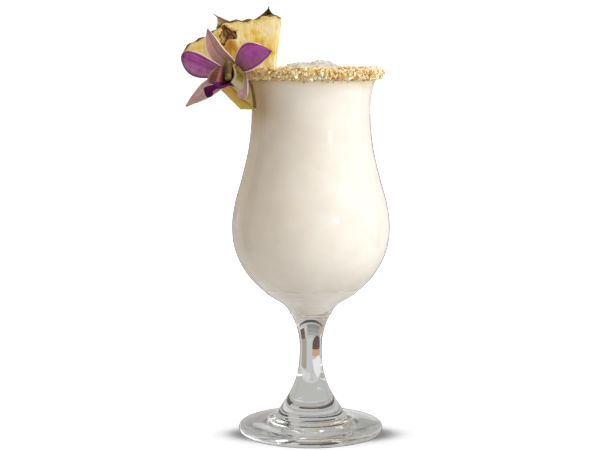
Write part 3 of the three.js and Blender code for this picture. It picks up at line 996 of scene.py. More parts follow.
# %% [markdown]
# ## Colouring the pineapple's flesh
#
# The flesh is pale straw with golden patches and streaks that follow the fibres, paler just under
# the rind. The point of the wedge that hangs beside the glass is riper and golden, with a brown
# line along its left edge and a green lower end. Each colour is laid over the last by a share
# from 0 to 1, made of noise or of a stored distance, much as a painter lays glazes. One ramp with
# many stops would be shorter, but all of its colours would follow one pattern.

# %% Straw and golden flesh
fruit = Recipe("pineapple")


def straw_flesh(recipe):
    """Yellow flesh with golden and cream clouds, streaks along the fibres and olive patches."""
    patches = recipe.speckle(95, detail=6, roughness=0.66) * 1.9
    tone = recipe.stored("fibre") * 0.26 + patches - 0.49
    golds = [(0.3, (226, 184, 52)), (0.44, (242, 210, 92))]
    creams = [(0.58, (250, 229, 152)), (0.74, (252, 240, 190))]
    flesh = recipe.ramp(tone, *golds, *creams)
    outer = recipe.stored("from_rind").band(9, 2.5)
    pale = recipe.speckle(120, detail=2).band(0.35, 0.6) * outer * 0.75
    flesh = recipe.blend(pale, flesh, (247, 226, 158))
    green = recipe.speckle(170, detail=3, shift=3).band(0.5, 0.66) * (outer * 0.45 + 0.35)
    flesh = recipe.blend(green, flesh, (196, 184, 70))
    peach = recipe.speckle(110, detail=2, shift=7).band(0.56, 0.72) * 0.4
    return recipe.blend(peach, flesh, (236, 190, 92))


def ripe_flesh(recipe):
    """The golden point of the wedge, from its left edge inward, with its green lower end."""
    wander = recipe.speckle(200, detail=3) * 2.4
    from_left = (recipe.stored("from_left") + wander) * (1 / 9)
    edge = [(0.16, (214, 192, 120)), (0.3, (216, 188, 98)), (0.4, (222, 178, 58))]
    brown_line = [(0.58, (212, 162, 46)), (0.66, (146, 108, 34)), (0.74, (226, 198, 126))]
    ripe = recipe.ramp(from_left, *edge, *brown_line, (1, (228, 204, 136)))
    bruise = recipe.speckle(240, detail=4).band(0.48, 0.64) * 0.55
    ripe = recipe.blend(bruise, ripe, (192, 148, 58))
    green_end = recipe.stored("from_core").band(4, 1.2) * 0.75
    return recipe.blend(green_end, ripe, (200, 196, 84))


flesh = fruit.blend(fruit.stored("low") * 0.9, straw_flesh(fruit), ripe_flesh(fruit))
print("nodes that colour the flesh:", len(fruit.tree.nodes))

# %% [markdown]
# ## Rind and dried eye
#
# From the front the rind shows only as a thin line of brown and olive. The dried eye is dark brown
# folds, the top one tan, with an amber stain below where its juice ran. Both are laid over the
# flesh by their distance, as a maker would paint them last.

# %% Paint the rind and the eye


def with_rind(recipe, flesh, on_rind):
    """The thin brown rind, and the yellow-green flesh just under it."""
    grain = recipe.speckle(700, detail=4)
    rind = recipe.ramp(grain, (0.3, (48, 32, 16)), (0.5, (96, 68, 32)), (0.7, (150, 120, 66)))
    under_rind = recipe.stored("from_rind").band(1.9, 0.6) * 0.6
    flesh = recipe.blend(under_rind, flesh, (206, 186, 100))
    return recipe.blend(on_rind, flesh, rind)


def with_eye(recipe, surface):
    """The dried eye's dark folds with a tan one along its top, and the amber stain below."""
    front = recipe.stored("depth").band(-2.8, -4.2)
    eye = recipe.stored("eye")
    fan = recipe.stored("eye_fan")
    reach = recipe.stored("eye_reach")
    stain = abs(fan + 78).band(30, 12) * reach.band(3.4, 1.7) * front
    amber = recipe.blend(reach.band(1.2, 1.9), (180, 122, 18), (192, 164, 50))
    mottle = recipe.speckle(300, detail=3).band(0.4, 0.65) * 0.6
    amber = recipe.blend(mottle, amber, (222, 192, 92))
    surface = recipe.blend(stain, surface, amber)
    dark_folds = [(0.4, (54, 24, 6)), (0.56, (120, 64, 12))]
    light_folds = [(0.7, (168, 112, 40)), (0.86, (214, 168, 86))]
    husk = recipe.ramp(recipe.stored("eye_streak"), *dark_folds, *light_folds)
    husk = recipe.blend(eye.band(-0.2, -0.06) * 0.6, husk, (62, 32, 8))
    top_fold = fan.band(-39, -35) * reach.band(0.8, 0.62)
    husk = recipe.blend(top_fold, husk, (206, 160, 104))
    return recipe.blend(eye.band(0.05, -0.02) * front, surface, husk)


on_rind = fruit.stored("from_rind").band(0.6, 0.15)
painted = with_eye(fruit, with_rind(fruit, flesh, on_rind))
print("nodes with the rind and the eye:", len(fruit.tree.nodes))

# %% [markdown]
# ## Wet fruit
#
# Cut fruit is wet and lets light a few millimetres in, while its rind is dry. The roughness rises
# on the rind, and a very fine bump breaks up the shine. Flesh, rind and eye share one material.
# Each could have its own on its own faces, but then it would end along the edges of faces, and
# their colours run into each other.

# %% Finish the pineapple
wet = fruit.speckle(1400, detail=3)
pineapple = fruit.shade(
    Base_Color=painted,
    Roughness=on_rind * 0.4 + 0.34,
    Normal=fruit.bump(wet, 0.12, 0.5),
    **soft(0.25, 3, 2.6, 1.2),
)
finish_piece(wedge, pineapple, "pineapple", "pineapple_wedge")

# %% [markdown]
# ## Thin sheets with two faces
#
# Bracts and petals are thin leaves. A sheet is written as a surface of two numbers, how far along
# and how far across, and is given its thickness on both sides. A Solidify modifier would do that
# too. Built here, each point also remembers both numbers, for veins and edges.

# %% Make thin sheets


def sheet(name, surface, along, across, thickness):
    """A thin closed solid round a surface of u from 0 to 1 and v from -1 to 1.

    surface takes arrays of u and v and gives an array of points."""
    u, v = np.meshgrid(np.linspace(0, 1, along), np.linspace(-1, 1, across), indexing="ij")
    u = u.ravel()
    v = v.ravel()
    step = 1e-3
    forth = surface(np.minimum(u + step, 1), v) - surface(np.maximum(u - step, 0), v)
    side = surface(u, np.minimum(v + step, 1)) - surface(u, np.maximum(v - step, -1))
    half = unit(np.cross(forth, side)) * thickness / 2
    middle = surface(u, v)
    count = along * across
    front = grid_faces(along, across)
    faces = front[:, ::-1].tolist() + (front + count).tolist()
    number = np.arange(count).reshape(along, across)
    edge = [*number[0], *number[1:, -1], *number[-1, -2::-1], *number[-2:0:-1, 0]]
    for a, b in zip(edge, edge[1:] + edge[:1]):
        faces.append([a, b, b + count, a + count])
    made = make_mesh(name, np.vstack([middle + half, middle - half]), faces, closed=True)
    paint_points(made, along=np.tile(u, 2), across=np.tile(v, 2))
    return made


print("a sheet of 30 by 13 points has", 2 * len(grid_faces(30, 13)) + 2 * (29 + 12), "faces")

# %% [markdown]
# ## Dry bracts on the rind
#
# Each pineapple eye carries a papery bract that ends in a spine. Two of them stand out of the
# slice's edge. A thin sheet that narrows to a point and bends does this better than a cone.

# %% Stand the bracts on the rind
BRACT_THICKNESS = 0.45
BRACT_ROOT = 1.2
BRACTS = {
    "bract_right": dict(angle=0.2, depth=-1.5, length=4.7, width=11, bend=0.9),
    "bract_left": dict(angle=-21.5, depth=-2.5, length=5.9, width=8.5, bend=-2.6),
}


def bract_surface(angle, depth, length, width, bend):
    """A spine on the rind at an angle of the slice, bent sideways towards its tip."""
    turned = math.radians(angle)
    rise = np.array([math.sin(turned), math.cos(turned)])
    side = np.array([math.cos(turned), -math.sin(turned)])
    foot = WEDGE_APEX + (rind_radius(angle, depth) - BRACT_ROOT) * rise

    def surface(u, v):
        half = width / 2 * (1 - u) ** 1.7 + 0.06
        flat = foot + rise * (u * (length + BRACT_ROOT))[:, None]
        flat = flat + side * (v * half + bend * u**2)[:, None]
        curl = depth + 1.1 * (1 - v * v) * (1 - u) + 0.5 * np.sin(5 * u + v)
        return onto_rim(np.column_stack([flat[:, 0], curl, flat[:, 1]]))

    return surface


def dry_husk(name, base, middle, tip):
    recipe = Recipe(name)
    streak = recipe.speckle(600, detail=4)
    shade = recipe.stored("along") * 0.55 + streak * 0.6
    tint = recipe.ramp(shade, (0.2, base), (0.45, middle), (0.9, tip))
    return recipe.shade(Base_Color=tint, Roughness=0.75, Normal=recipe.bump(streak, 0.25))


husks = {
    "bract_right": dry_husk("dark_bract", (122, 92, 36), (104, 68, 34), (60, 42, 28)),
    "bract_left": dry_husk("pale_bract", (128, 88, 46), (204, 172, 136), (150, 138, 122)),
}
for name, form in BRACTS.items():
    spine = sheet(name, bract_surface(**form), 30, 13, BRACT_THICKNESS)
    finish_piece(spine, husks[name], "pineapple")

# %% [markdown]
# ## The icy cap
#
# The blended ice stands a little above the rim in a rough heap that reaches the glass. Its form is
# a low mound with lumps of seeded places and sizes. It could be sculpted by hand, but lumps that
# are pressed into a dense grid of rings by a rule come out the same on every run, and finer noise
# roughens them.

# %% Work out the cap's height
CAP_RADIUS = 28
CAP_EDGE_HEIGHT = 183.4
CAP_WALL_HEIGHT = 181.4
CAP_MOUNDS = [((5, 1.5), 5.1, 10.3), ((-6, 1), 4.5, 9.2)]
CAP_LUMPS = 70
LUMP_RELIEF = 0.75


def seeded_draws(seed):
    """Even random numbers from 0 to 1, by the same rule as the solids use."""
    state = seed
    while True:
        state = (state * 1664525 + 1013904223) & 0xFFFFFFFF
        yield state / 4294967296


def cap_lumps():
    """Place, radius and height of each lump."""
    draw = seeded_draws(7)
    lumps = []
    for _ in range(CAP_LUMPS):
        reach = CAP_RADIUS * math.sqrt(next(draw))
        angle = 2 * math.pi * next(draw)
        radius = 2.6 + 2.2 * next(draw)
        height = 0.4 + next(draw)
        lumps.append((reach * math.cos(angle), reach * math.sin(angle), radius, height))
    return lumps


LUMPS = cap_lumps()


def cap_height(x, y):
    """Two mounds with lumps on them. Each mound has a place, a height and a spread."""
    heap = np.zeros(np.shape(x))
    for at, height, spread in CAP_MOUNDS:
        away = np.hypot(x - at[0], y - at[1]) / spread
        heap += (height * np.exp(-away * away)) ** 3
    uneven = np.zeros(np.shape(x))
    for lump_x, lump_y, radius, height in LUMPS:
        distance = np.hypot(x - lump_x, y - lump_y) / radius
        uneven = np.maximum(uneven, height * (1 - distance * distance))
    reach = np.hypot(x, y)
    edge = np.minimum(reach / CAP_RADIUS, 1)
    height = CAP_EDGE_HEIGHT + np.cbrt(heap) + LUMP_RELIEF * uneven * (1 - 0.7 * edge**4)
    share = smooth_step(CAP_RADIUS - 1, CAP_RADIUS + 2, reach)
    return height + (CAP_WALL_HEIGHT - height) * share


print("the cap's middle stands at", round(float(cap_height(0, 0)), 1), "mm")

# %% [markdown]
# ## From a height to a solid
#
# Rings of points from the glass's wall to the middle take the cap's height, with finer noise on
# top. A square grid with a Displace modifier would give the same heap, but it would meet the round
# wall in steps. A flat floor closes the solid, and the wedge's cutter makes room for the fruit.

# %% Heap the icy cap
CAP_FLOOR = node_box("slush_cap")[0][2]


def make_cap(rings=90, around=220):
    widest = radius_at(CAP_FLOOR, inside_wall(-WALL_OVERLAP))
    reach = np.linspace(1, 0, rings, endpoint=False)[:, None] * widest
    top = spin(reach, 0, round_angles(around)).reshape(-1, 3)
    top[:, 2] = cap_height(top[:, 0], top[:, 1])
    rough = 0.35 * layered_noise(top, 2.6, 11) + 0.12 * layered_noise(top, 0.9, 13)
    top[:, 2] += rough * smooth_step(widest, widest - 3, reach.repeat(around))
    floor = top[:around] * [1, 1, 0] + [0, 0, CAP_FLOOR]
    faces = grid_faces(rings + 1, around, wrap_columns=True).tolist()
    faces.append(list(range(around)))
    faces.append(list(range(rings * around, (rings + 1) * around)))
    made = make_mesh("icy_cap", np.vstack([floor, top]), faces, closed=True)
    cut_out(made, wedge_cutter())
    return made


cap = make_cap()
paint_points(cap, height=read_points(cap)[:, 2])
print("cap points:", len(cap.data.vertices))

# %% [markdown]
# ## Blended ice
#
# Crushed ice in cream is greyish white, because light goes deep into it and comes out weaker. A
# heap of clear grains would be closer to the truth, but far slower to render. Deep subsurface
# scattering and a thin wet coat stand for it here.

# %% Finish the ice


def blended_ice():
    """Greyish ice that lets light in, creamier in the hollows where drink stands."""
    recipe = Recipe("blended_ice")
    grain = recipe.speckle(420, detail=5)
    tint = recipe.ramp(grain, (0.36, (176, 172, 161)), (0.62, (206, 202, 191)))
    low = recipe.stored("height").band(187.6, 185.2) * 0.6
    return recipe.shade(
        Base_Color=recipe.blend(low, tint, (216, 200, 170)),
        Roughness=0.38,
        Coat_Weight=0.25,
        Coat_Roughness=0.25,
        Normal=recipe.bump(grain, 0.2, 0.4),
        **soft(0.6, 5, 4.5, 4),
    )


finish_piece(cap, blended_ice(), "slush", "slush_cap")

# %% [markdown]
# ## Scattering small things
#
# Ice chips and sugar crystals are the same task: many small faceted solids, each turned and sized
# at random, joined into one mesh. Geometry Nodes could scatter them and realise the instances.
# Placing them in numpy is as quick, and lets each one be tested against the wedge first.

# %% Make crystals
CUBE = np.array(list(itertools.product((-1, 1), repeat=3)), dtype=float)
CUBE_FACES = np.array(
    [[0, 1, 3, 2], [4, 6, 7, 5], [0, 4, 5, 1], [2, 3, 7, 6], [0, 2, 6, 4], [1, 5, 7, 3]]
)


def random_turns(count, random):
    """A random rotation matrix for each of count things."""
    w, x, y, z = unit(random.normal(size=(count, 4))).T
    rows = [
        [1 - 2 * (y * y + z * z), 2 * (x * y - w * z), 2 * (x * z + w * y)],
        [2 * (x * y + w * z), 1 - 2 * (x * x + z * z), 2 * (y * z - w * x)],
        [2 * (x * z - w * y), 2 * (y * z + w * x), 1 - 2 * (x * x + y * y)],
    ]
    return np.moveaxis(np.array(rows), 2, 0)


def crystals(name, centres, sizes, random, crooked=0.22):
    """One mesh of crooked little blocks with a random tone stored on each."""
    count = len(centres)
    shape = CUBE[None] * (1 + crooked * random.uniform(-1, 1, (count, 8, 3)))
    shape = shape * random.uniform(0.7, 1.15, (count, 1, 3)) * sizes[:, None, None] / 2
    shape = np.einsum("nij,nkj->nki", random_turns(count, random), shape)
    faces = CUBE_FACES[None] + 8 * np.arange(count)[:, None, None]
    made = make_mesh(name, shape + centres[:, None], faces.reshape(-1, 4))
    paint_points(made, tone=np.repeat(random.uniform(0, 1, count), 8))
    return made


def near_wedge(points, margin):
    """True for points inside the wedge or closer to it than margin."""
    angle, distance, depth = from_apex(points)
    inside = (np.abs(depth) < WEDGE_THICKNESS / 2 + margin) & (distance < WEDGE_RADIUS + 3)
    slack = np.degrees(margin / np.maximum(distance, 1))
    return inside & (angle < WEDGE_RIGHT + slack) & (angle > -WEDGE_LEFT - slack)


print("a crystal has", len(CUBE), "corners and", len(CUBE_FACES), "faces")

# %% [markdown]
# ## Loose ice
#
# A blender never crushes all of the ice, so small chips lie loose on the slush and catch the light.
# They are real blocks with flat faces, because a bump in a material could not break the cap's
# outline.

# %% Scatter the ice chips
CHIP_COUNT = 300
CHIP_MARGIN = 1.4


def ice_chips():
    random = np.random.default_rng(5)
    reach = (CAP_RADIUS - 1.2) * np.sqrt(random.uniform(0, 1, CHIP_COUNT))
    angle = random.uniform(0, 2 * math.pi, CHIP_COUNT)
    sizes = random.uniform(0.4, 1.0, CHIP_COUNT)
    centres = spin(reach, 0, angle)
    centres[:, 2] = cap_height(centres[:, 0], centres[:, 1])
    keep = ~near_wedge(centres, CHIP_MARGIN)
    return crystals("ice_chips", centres[keep], sizes[keep], random, crooked=0.35)


def clear_ice():
    recipe = Recipe("ice_chip")
    tint = recipe.ramp(recipe.stored("tone"), (0, (186, 183, 173)), (1, (222, 218, 208)))
    normal = recipe.bump(recipe.speckle(1500), 0.08)
    return recipe.shade(Base_Color=tint, Roughness=0.3, Normal=normal, **soft(0.7, 4, 4, 4))


finish_piece(ice_chips(), clear_ice(), "slush", smooth=False)

# %% [markdown]
# ## The sugar crust's core
#
# The wetted lip was dipped in coarse golden sugar, which covers it outside, on top and a little way
# inside. Thousands of loose crystals alone would leave gaps with glass showing. So a bumpy ring
# that follows the lip closes the gaps, cut round the glass's wall and the wedge, and the crystals
# are laid on it afterwards.

# %% Draw the crust's skin
CRUST_LOW = 180.1
CRUST_TOP = 185.6
CRUST_OUTER = 36.1
CRUST_INNER = 29.5
CRUST_INNER_LOW = 181.8
CRUST_WAIST = (CRUST_LOW + CRUST_TOP) / 2 + 0.4
OUTER_SKIN = [
    (CRUST_OUTER - 3.2, CRUST_LOW + 0.7),
    (CRUST_OUTER - 1.4, CRUST_LOW + 0.7),
    (CRUST_OUTER - 0.4, CRUST_LOW + 1.8),
    (CRUST_OUTER - 0.1, CRUST_WAIST),
    (CRUST_OUTER - 0.9, CRUST_TOP - 1.3),
    (CRUST_OUTER - 2.5, CRUST_TOP - 0.5),
]
INNER_SKIN = [
    (CRUST_INNER + 2, CRUST_TOP - 0.5),
    (CRUST_INNER + 0.6, CRUST_TOP - 1.4),
    (CRUST_INNER + 0.1, CRUST_WAIST),
    (CRUST_INNER + 0.5, CRUST_INNER_LOW),
]


def along_skin(share):
    """The place and outward direction on the crust's skin, at shares of the way over the lip."""
    skin = np.array(OUTER_SKIN + INNER_SKIN)
    length = np.concatenate([[0], np.cumsum(np.linalg.norm(np.diff(skin, axis=0), axis=1))])

    def place(at):
        return np.column_stack([np.interp(at, length, skin[:, axis]) for axis in (0, 1)])

    at = share * length[-1]
    heading = unit(place(at + 0.3) - place(at - 0.3))
    return place(at), heading[:, ::-1] * [1, -1]


print("the crust is", round(2 * max(OUTER_SKIN)[0], 1), "mm across")

# %% [markdown]
# ## Golden sugar
#
# The crust is honey-coloured and browner in patches. It has painted shade on the left, and painted
# light on the right and along its lower edge. One recipe serves the core and the crystals. Only the
# tone of a grain is made in two ways: from specks of noise on the core, and from a number stored on
# each crystal. Two separate materials would soon differ in hue, and the core would show between the
# crystals.

# %% Lay the core of the crust


def crust_core(around=360, across=40):
    place, out = along_skin(np.linspace(0, 1, across))
    skin = spin(*place.T, round_angles(around)[:, None])
    bump = 0.25 * layered_noise(skin.reshape(-1, 3), 1.4, 23) - 0.15
    bumpy = place + out * bump.reshape(around, across, 1)
    made = ring_of_section("sugar_core", bumpy[..., 0], bumpy[..., 1], around)
    cut_out(made, wall_ring(0.05))
    cut_out(made, wedge_cutter())
    return made


def golden_sugar(name, tone, roughness):
    """Golden sugar, browner in patches, with painted shade on the left and painted light on the right
    and low down.

    tone makes the value from 0 to 1 that decides how pale each grain is."""
    recipe = Recipe(name)
    across = recipe.along_axis("X")
    # Painted shade: browner towards the left, where the crust lies in shade. The patches are the sugar's
    # own uneven browning.
    left_shade_and_patches = across.band(-12, -34) * 0.5 + recipe.speckle(110, detail=2).band(0.42, 0.6) * 0.3
    # Painted light: paler on the lit right side, and low down where the crust's lower edge gets less
    # light.
    painted_right_and_low_light = across.band(12, 30) * 0.18 + recipe.along_axis("Z").band(183.5, 181.5) * 0.2
    browns = [(0, (170, 122, 62)), (0.22, (210, 172, 108)), (0.5, (236, 208, 148))]
    pales = [(0.8, (247, 226, 178)), (1, (253, 242, 212))]
    tint = recipe.ramp(tone(recipe) * (1.12 - left_shade_and_patches + painted_right_and_low_light), *browns, *pales)
    normal = recipe.bump(recipe.speckle(2200), 0.04)
    light = soft(0.3, 1.4, 0.9, 0.4)
    return recipe.shade(Base_Color=tint, Roughness=roughness, Normal=normal, **light)


def specks(recipe):
    return recipe.speckle(500, detail=4) * 0.7


finish_piece(crust_core(), golden_sugar("sugar_paste", specks, 0.5), "sugar", "sugar_rim")

# %% [markdown]
# ## Sugar crystals
#
# Crystals of about a millimetre make the crust sparkle. Fine and coarse ones are laid at random
# along the skin, and a few strays stick to the wall just under it. Each crystal has a tone of its
# own, so that neighbours differ as real grains do.

# %% Scatter the sugar
SUGAR_MARGIN = 0.75
FINE_SUGAR = dict(count=7600, smallest=0.5, largest=1.1, proud=0.25, seed=31)
COARSE_SUGAR = dict(count=1700, smallest=0.9, largest=1.6, proud=0.4, seed=37)
STRAY_COUNT = 170


def sugar_crystals(name, count, smallest, largest, proud, seed):
    random = np.random.default_rng(seed)
    share = random.uniform(0.03, 0.985, count)
    angle = random.uniform(0, 2 * math.pi, count)
    place, out = along_skin(share)
    sizes = smallest + (largest - smallest) * random.uniform(0, 1, count) ** 1.8
    centres = spin(*(place + out * random.uniform(-0.25, proud, (count, 1))).T, angle)
    thick = layered_noise(spin(*place.T, angle), 4, 29)
    keep = ~near_wedge(centres, SUGAR_MARGIN) & (thick > -0.9)
    return crystals(name, centres[keep], sizes[keep], random)


def stray_crystals():
    """Single crystals stuck to the wall just under the crust."""
    random = np.random.default_rng(41)
    angle = random.uniform(0, 2 * math.pi, STRAY_COUNT)
    height = CRUST_LOW + 0.15 - np.minimum(random.exponential(0.55, STRAY_COUNT), 2.5)
    centres = spin(radius_at(height, outside) + 0.15, height, angle)
    keep = ~near_wedge(centres, SUGAR_MARGIN)
    sizes = random.uniform(0.4, 0.8, STRAY_COUNT)
    return crystals("stray_sugar", centres[keep], sizes[keep], random)


def tone_of_grain(recipe):
    return recipe.stored("tone")


sparkling = golden_sugar("sugar_crystal", tone_of_grain, 0.28)
finish_piece(sugar_crystals("fine_sugar", **FINE_SUGAR), sparkling, "sugar", smooth=False)
finish_piece(sugar_crystals("coarse_sugar", **COARSE_SUGAR), sparkling, "sugar", smooth=False)
finish_piece(stray_crystals(), sparkling, "sugar", smooth=False)

# %% [markdown]
# ## The orchid
#
# The flower has two broad petals, three narrower sepals behind them, a folded lip and a short
# column. Each of the five outer parts is a tepal: a thin spoon-shaped sheet that is widest
# somewhere along its length. One formula with a few sizes makes all five, and only the sizes
# differ.

# %% Where the petals and sepals lie
FLOWER_CENTRE = np.array([-40.1, -22.6, 184.2])
FLOWER_YAW = math.radians(-19)
PETALS = {
    "petal_left": dict(
        base=(-2.4, -0.4, 0.2), tip=(-25.5, 7.3, -1.5), half_width=5.8, widest=0.61,
        fullness=0.54, sweep=1.35, arch=1.6, cup=-0.4,
    ),
    "petal_right": dict(
        base=(4.3, 2.2, 0.2), tip=(22.5, 9.5, 1), half_width=6.9, widest=0.47,
        fullness=0.74, sweep=2.1, arch=1.6, cup=-0.8, point=0.42,
    ),
}
SEPALS = {
    "sepal_top": dict(
        base=(0.9, 2.6, -2.4), tip=(-12.1, 20.4, -3), half_width=4.3, widest=0.45,
        fullness=0.46, sweep=2.6, arch=0.5, cup=0.8, point=0.62,
    ),
    "sepal_left": dict(
        base=(-1.6, -3, -2.4), tip=(-23.9, -17.5, -2.6), half_width=4.1, widest=0.42,
        fullness=0.7, sweep=-0.6, arch=0.4, cup=0.7, point=0.5,
    ),
    "sepal_right": dict(
        base=(8, 0.7, -1.8), tip=(4.3, -13.2, -6.5), half_width=2.7, widest=0.78,
        fullness=0.36, sweep=1, arch=1.2, cup=0.6,
    ),
}


def flower_point(right, up, forward):
    """A place in the flower's own axes: x to the right, y away from the viewer, z up."""
    return np.array([right, -forward, up], dtype=float)


def onto_wedge(points):
    """Turns and moves points of the upright flower to where it is pinned."""
    return FLOWER_CENTRE + turned_about_z(points, FLOWER_YAW)


print("the flower has", len(PETALS), "petals and", len(SEPALS), "sepals")

# %% [markdown]
# ## One formula for petals and sepals
#
# A petal runs from its base to its tip, is widest at a given share of the way, arches forward and
# cups or bends back at its edges. A crease along the middle, ruffled edges and faint ridges for
# the veins make it look grown. A plane bent with a lattice would do, but each of the five would
# have to be shaped by hand.

# %% The form of petals and sepals
TEPAL_THICKNESS = 0.6


def tepal_surface(base, tip, half_width, widest, fullness, sweep, arch, cup, point=0.0):
    """The sheet of one tepal. A larger point draws the tip out to a sharper one."""
    start = flower_point(*base)
    axis = flower_point(*tip) - start
    side = unit(np.cross([0, -1, 0], axis))
    facing = unit(np.cross(axis, side))
    power = math.log(0.5) / math.log(widest)

    def surface(u, v):
        run = 0.06 + 0.935 * u
        width = half_width * np.sin(math.pi * run**power) ** fullness * (1 - point * u**5)
        ruffle = 0.35 * np.sin(9 * u + 2 * v) * v * v
        crease = -0.35 * np.exp(-((v / 0.16) ** 2)) * np.sin(math.pi * u) ** 0.5
        veins = 0.05 * np.cos(22 * v) * np.sin(math.pi * u)
        rise = arch * 4 * u * (1 - u) + cup * v * v * (width / half_width)
        rise = rise + ruffle + crease + veins
        across = v * width + sweep * np.sin(math.pi * u)
        flat = start + u[:, None] * axis + across[:, None] * side + rise[:, None] * facing
        return onto_wedge(flat)

    return surface


def tepals(forms, along, across):
    """The sheets of several tepals, by name."""
    return {
        name: sheet(name, tepal_surface(**form), along, across, TEPAL_THICKNESS)
        for name, form in forms.items()
    }


petals = tepals(PETALS, along=70, across=45)
sepals = tepals(SEPALS, along=60, across=33)
print("a petal has", len(petals["petal_left"].data.vertices), "points")

# %% [markdown]
# ## Colouring petals and sepals
#
# A petal is rich purple with fine darker veins that run along it, a paler heart and a thin pale
# edge that darkens at the tip. A sepal is dusty mauve with the same veins. Because each sheet
# stores how far along and across a point lies, the veins follow the form as real ones do.

# %% A velvet with veins


def veined(
    name, heart, body, vein, edge, edge_start,
    side_tint=None, side=1, stripes=0.18, line=0.7, dark_edge=None, dark_side=False,
):
    """A velvety petal with veins along it and a thin edge of another colour.

    side_tint colours the half whose across value has the sign of side. stripes and line are
    the strengths of the veins and of the dark line inside the edge. dark_edge is the edge's
    colour at the tip, and on that half as well where dark_side is true."""
    recipe = Recipe(name)
    along = recipe.stored("along")
    across = recipe.stored("across")
    lane = (across + recipe.speckle(160, detail=2) * 0.5) * 34
    stripe = lane.sine().band(0.1, 1)
    cloud = recipe.speckle(330, detail=5, roughness=0.65)
    tint = recipe.blend(along.band(0, 0.5), heart, body)
    if side_tint:
        tint = recipe.blend((across * side).band(-0.3, 0.95) * 0.75, tint, side_tint)
    tint = recipe.blend(cloud.band(0.4, 0.66) * 0.4, tint, vein)
    tint = recipe.blend(stripe * stripes, tint, vein)
    if dark_edge:
        dark = along.band(0.76, 0.88)
        if dark_side:
            dark = dark.larger((across * side).band(-0.1, 0.1))
        edge = recipe.blend(dark, edge, dark_edge)
    away = abs(across)
    inner_line = away.band(edge_start - 0.16, edge_start - 0.02).larger(along.band(0.88, 0.96))
    tint = recipe.blend(inner_line * line, tint, vein)
    rim = away.band(edge_start, 0.95).larger(along.band(0.98, 1))
    return recipe.shade(
        Base_Color=recipe.blend(rim * 0.9, tint, edge),
        Roughness=0.55,
        Sheen_Weight=0.25,
        Sheen_Roughness=0.4,
        Normal=recipe.bump(stripe * 0.5 + recipe.speckle(1800), 0.1, 0.6),
        **soft(0.2, 1.2, 0.5, 1),
    )


MAUVE = dict(
    heart=(156, 118, 96),
    body=(188, 146, 142),
    vein=(156, 112, 108),
    edge=(240, 214, 196),
    edge_start=0.84,
    stripes=0.1,
    line=0.3,
)
sepal_mauve = veined("sepal_mauve", **MAUVE)
print("the upper sepal's material has", len(sepal_mauve.node_tree.nodes), "nodes")

# %% [markdown]
# ## The tints of each petal
#
# No two petals of a real flower match. One half of the left petal is paler here, and one half of
# the right one is duller. The recipe takes its tints as settings, so each petal needs only a
# short list. A copied material could be changed too, but a better vein would then have to be
# drawn again in every copy.

# %% Finish petals and sepals
PURPLE = dict(
    heart=(150, 104, 112),
    body=(178, 76, 172),
    vein=(100, 32, 90),
    edge=(246, 208, 196),
    edge_start=0.86,
    dark_edge=(104, 46, 92),
)
PALE_MAUVE = dict(
    heart=(164, 116, 120),
    body=(208, 174, 176),
    vein=(166, 124, 130),
    edge=(236, 216, 204),
    edge_start=0.82,
    line=0.4,
)
petal_tints = {
    "petal_left": veined("petal_left", **PURPLE, side_tint=(200, 140, 172), dark_side=True),
    "petal_right": veined("petal_right", **PURPLE, side_tint=(146, 88, 112), side=-1),
}
sepal_pale = veined("sepal_pale", **PALE_MAUVE)
for name, petal in petals.items():
    finish_piece(petal, petal_tints[name], "orchid_petal", "orchid_" + name)
for name, sepal in sepals.items():
    tint = sepal_mauve if name == "sepal_top" else sepal_pale
    finish_piece(sepal, tint, "orchid_sepal", "orchid_" + name)

# %% [markdown]
# ## The lip's form
#
# The lip is the odd petal: a trough round the column with a wing on each side, which ends in a
# drooping front lobe. A small net of places is the quickest way to such a form. A curve is drawn
# through each row of the net and then through the rows, as a sculptor would lay ribs and skin
# them.

# %% Fold the lip
LIP_ROWS = [
    [(6.6, 2, 2.6), (3.9, 2.7, 3.8), (1.2, 2.4, 0.8), (-1.8, 2.5, 3.6), (-4.9, 1.9, 3)],
    [(9.1, -2.8, 3.4), (5.8, -1.6, 6), (1.8, -1.9, 0.9), (-2.1, -1.2, 6), (-8.4, -1.4, 4)],
    [(7.9, -8.7, 4.6), (4.8, -4.9, 7), (1.1, -6.3, 3), (-2.8, -4.5, 7), (-8.9, -5.7, 5)],
    [(3.6, -6.3, 8), (1.7, -7.2, 8.6), (-0.7, -8.1, 9), (-2.6, -7.4, 9.2), (-4.1, -5.3, 8.6)],
    [(-3.3, -9, 10), (-3.4, -8.4, 9.9), (-3.7, -7.7, 9.7), (-4.1, -7.1, 9.3), (-4.5, -6.5, 8.8)],
    [(-4.5, -11.5, 10.3), (-5.2, -10.5, 10.1), (-6.1, -9.5, 9.8), (-7.1, -8.4, 9.2), (-8.2, -7.5, 8.6)],
    [(-7.1, -12.6, 9.6), (-7.8, -12, 9.4), (-8.5, -11, 9), (-9.2, -9.7, 8.4), (-9.7, -8.3, 7.8)],
]


def lip_grid(fine=12):
    """The lip's net, made smooth first along its rows and then across them."""
    net = np.array([[flower_point(*place) for place in row] for row in LIP_ROWS])
    for _ in range(2):
        net = np.array([curve_through(line, fine, centripetal=False) for line in net])
        net = np.moveaxis(net, 0, 1)
    return net


LIP_NET = lip_grid()


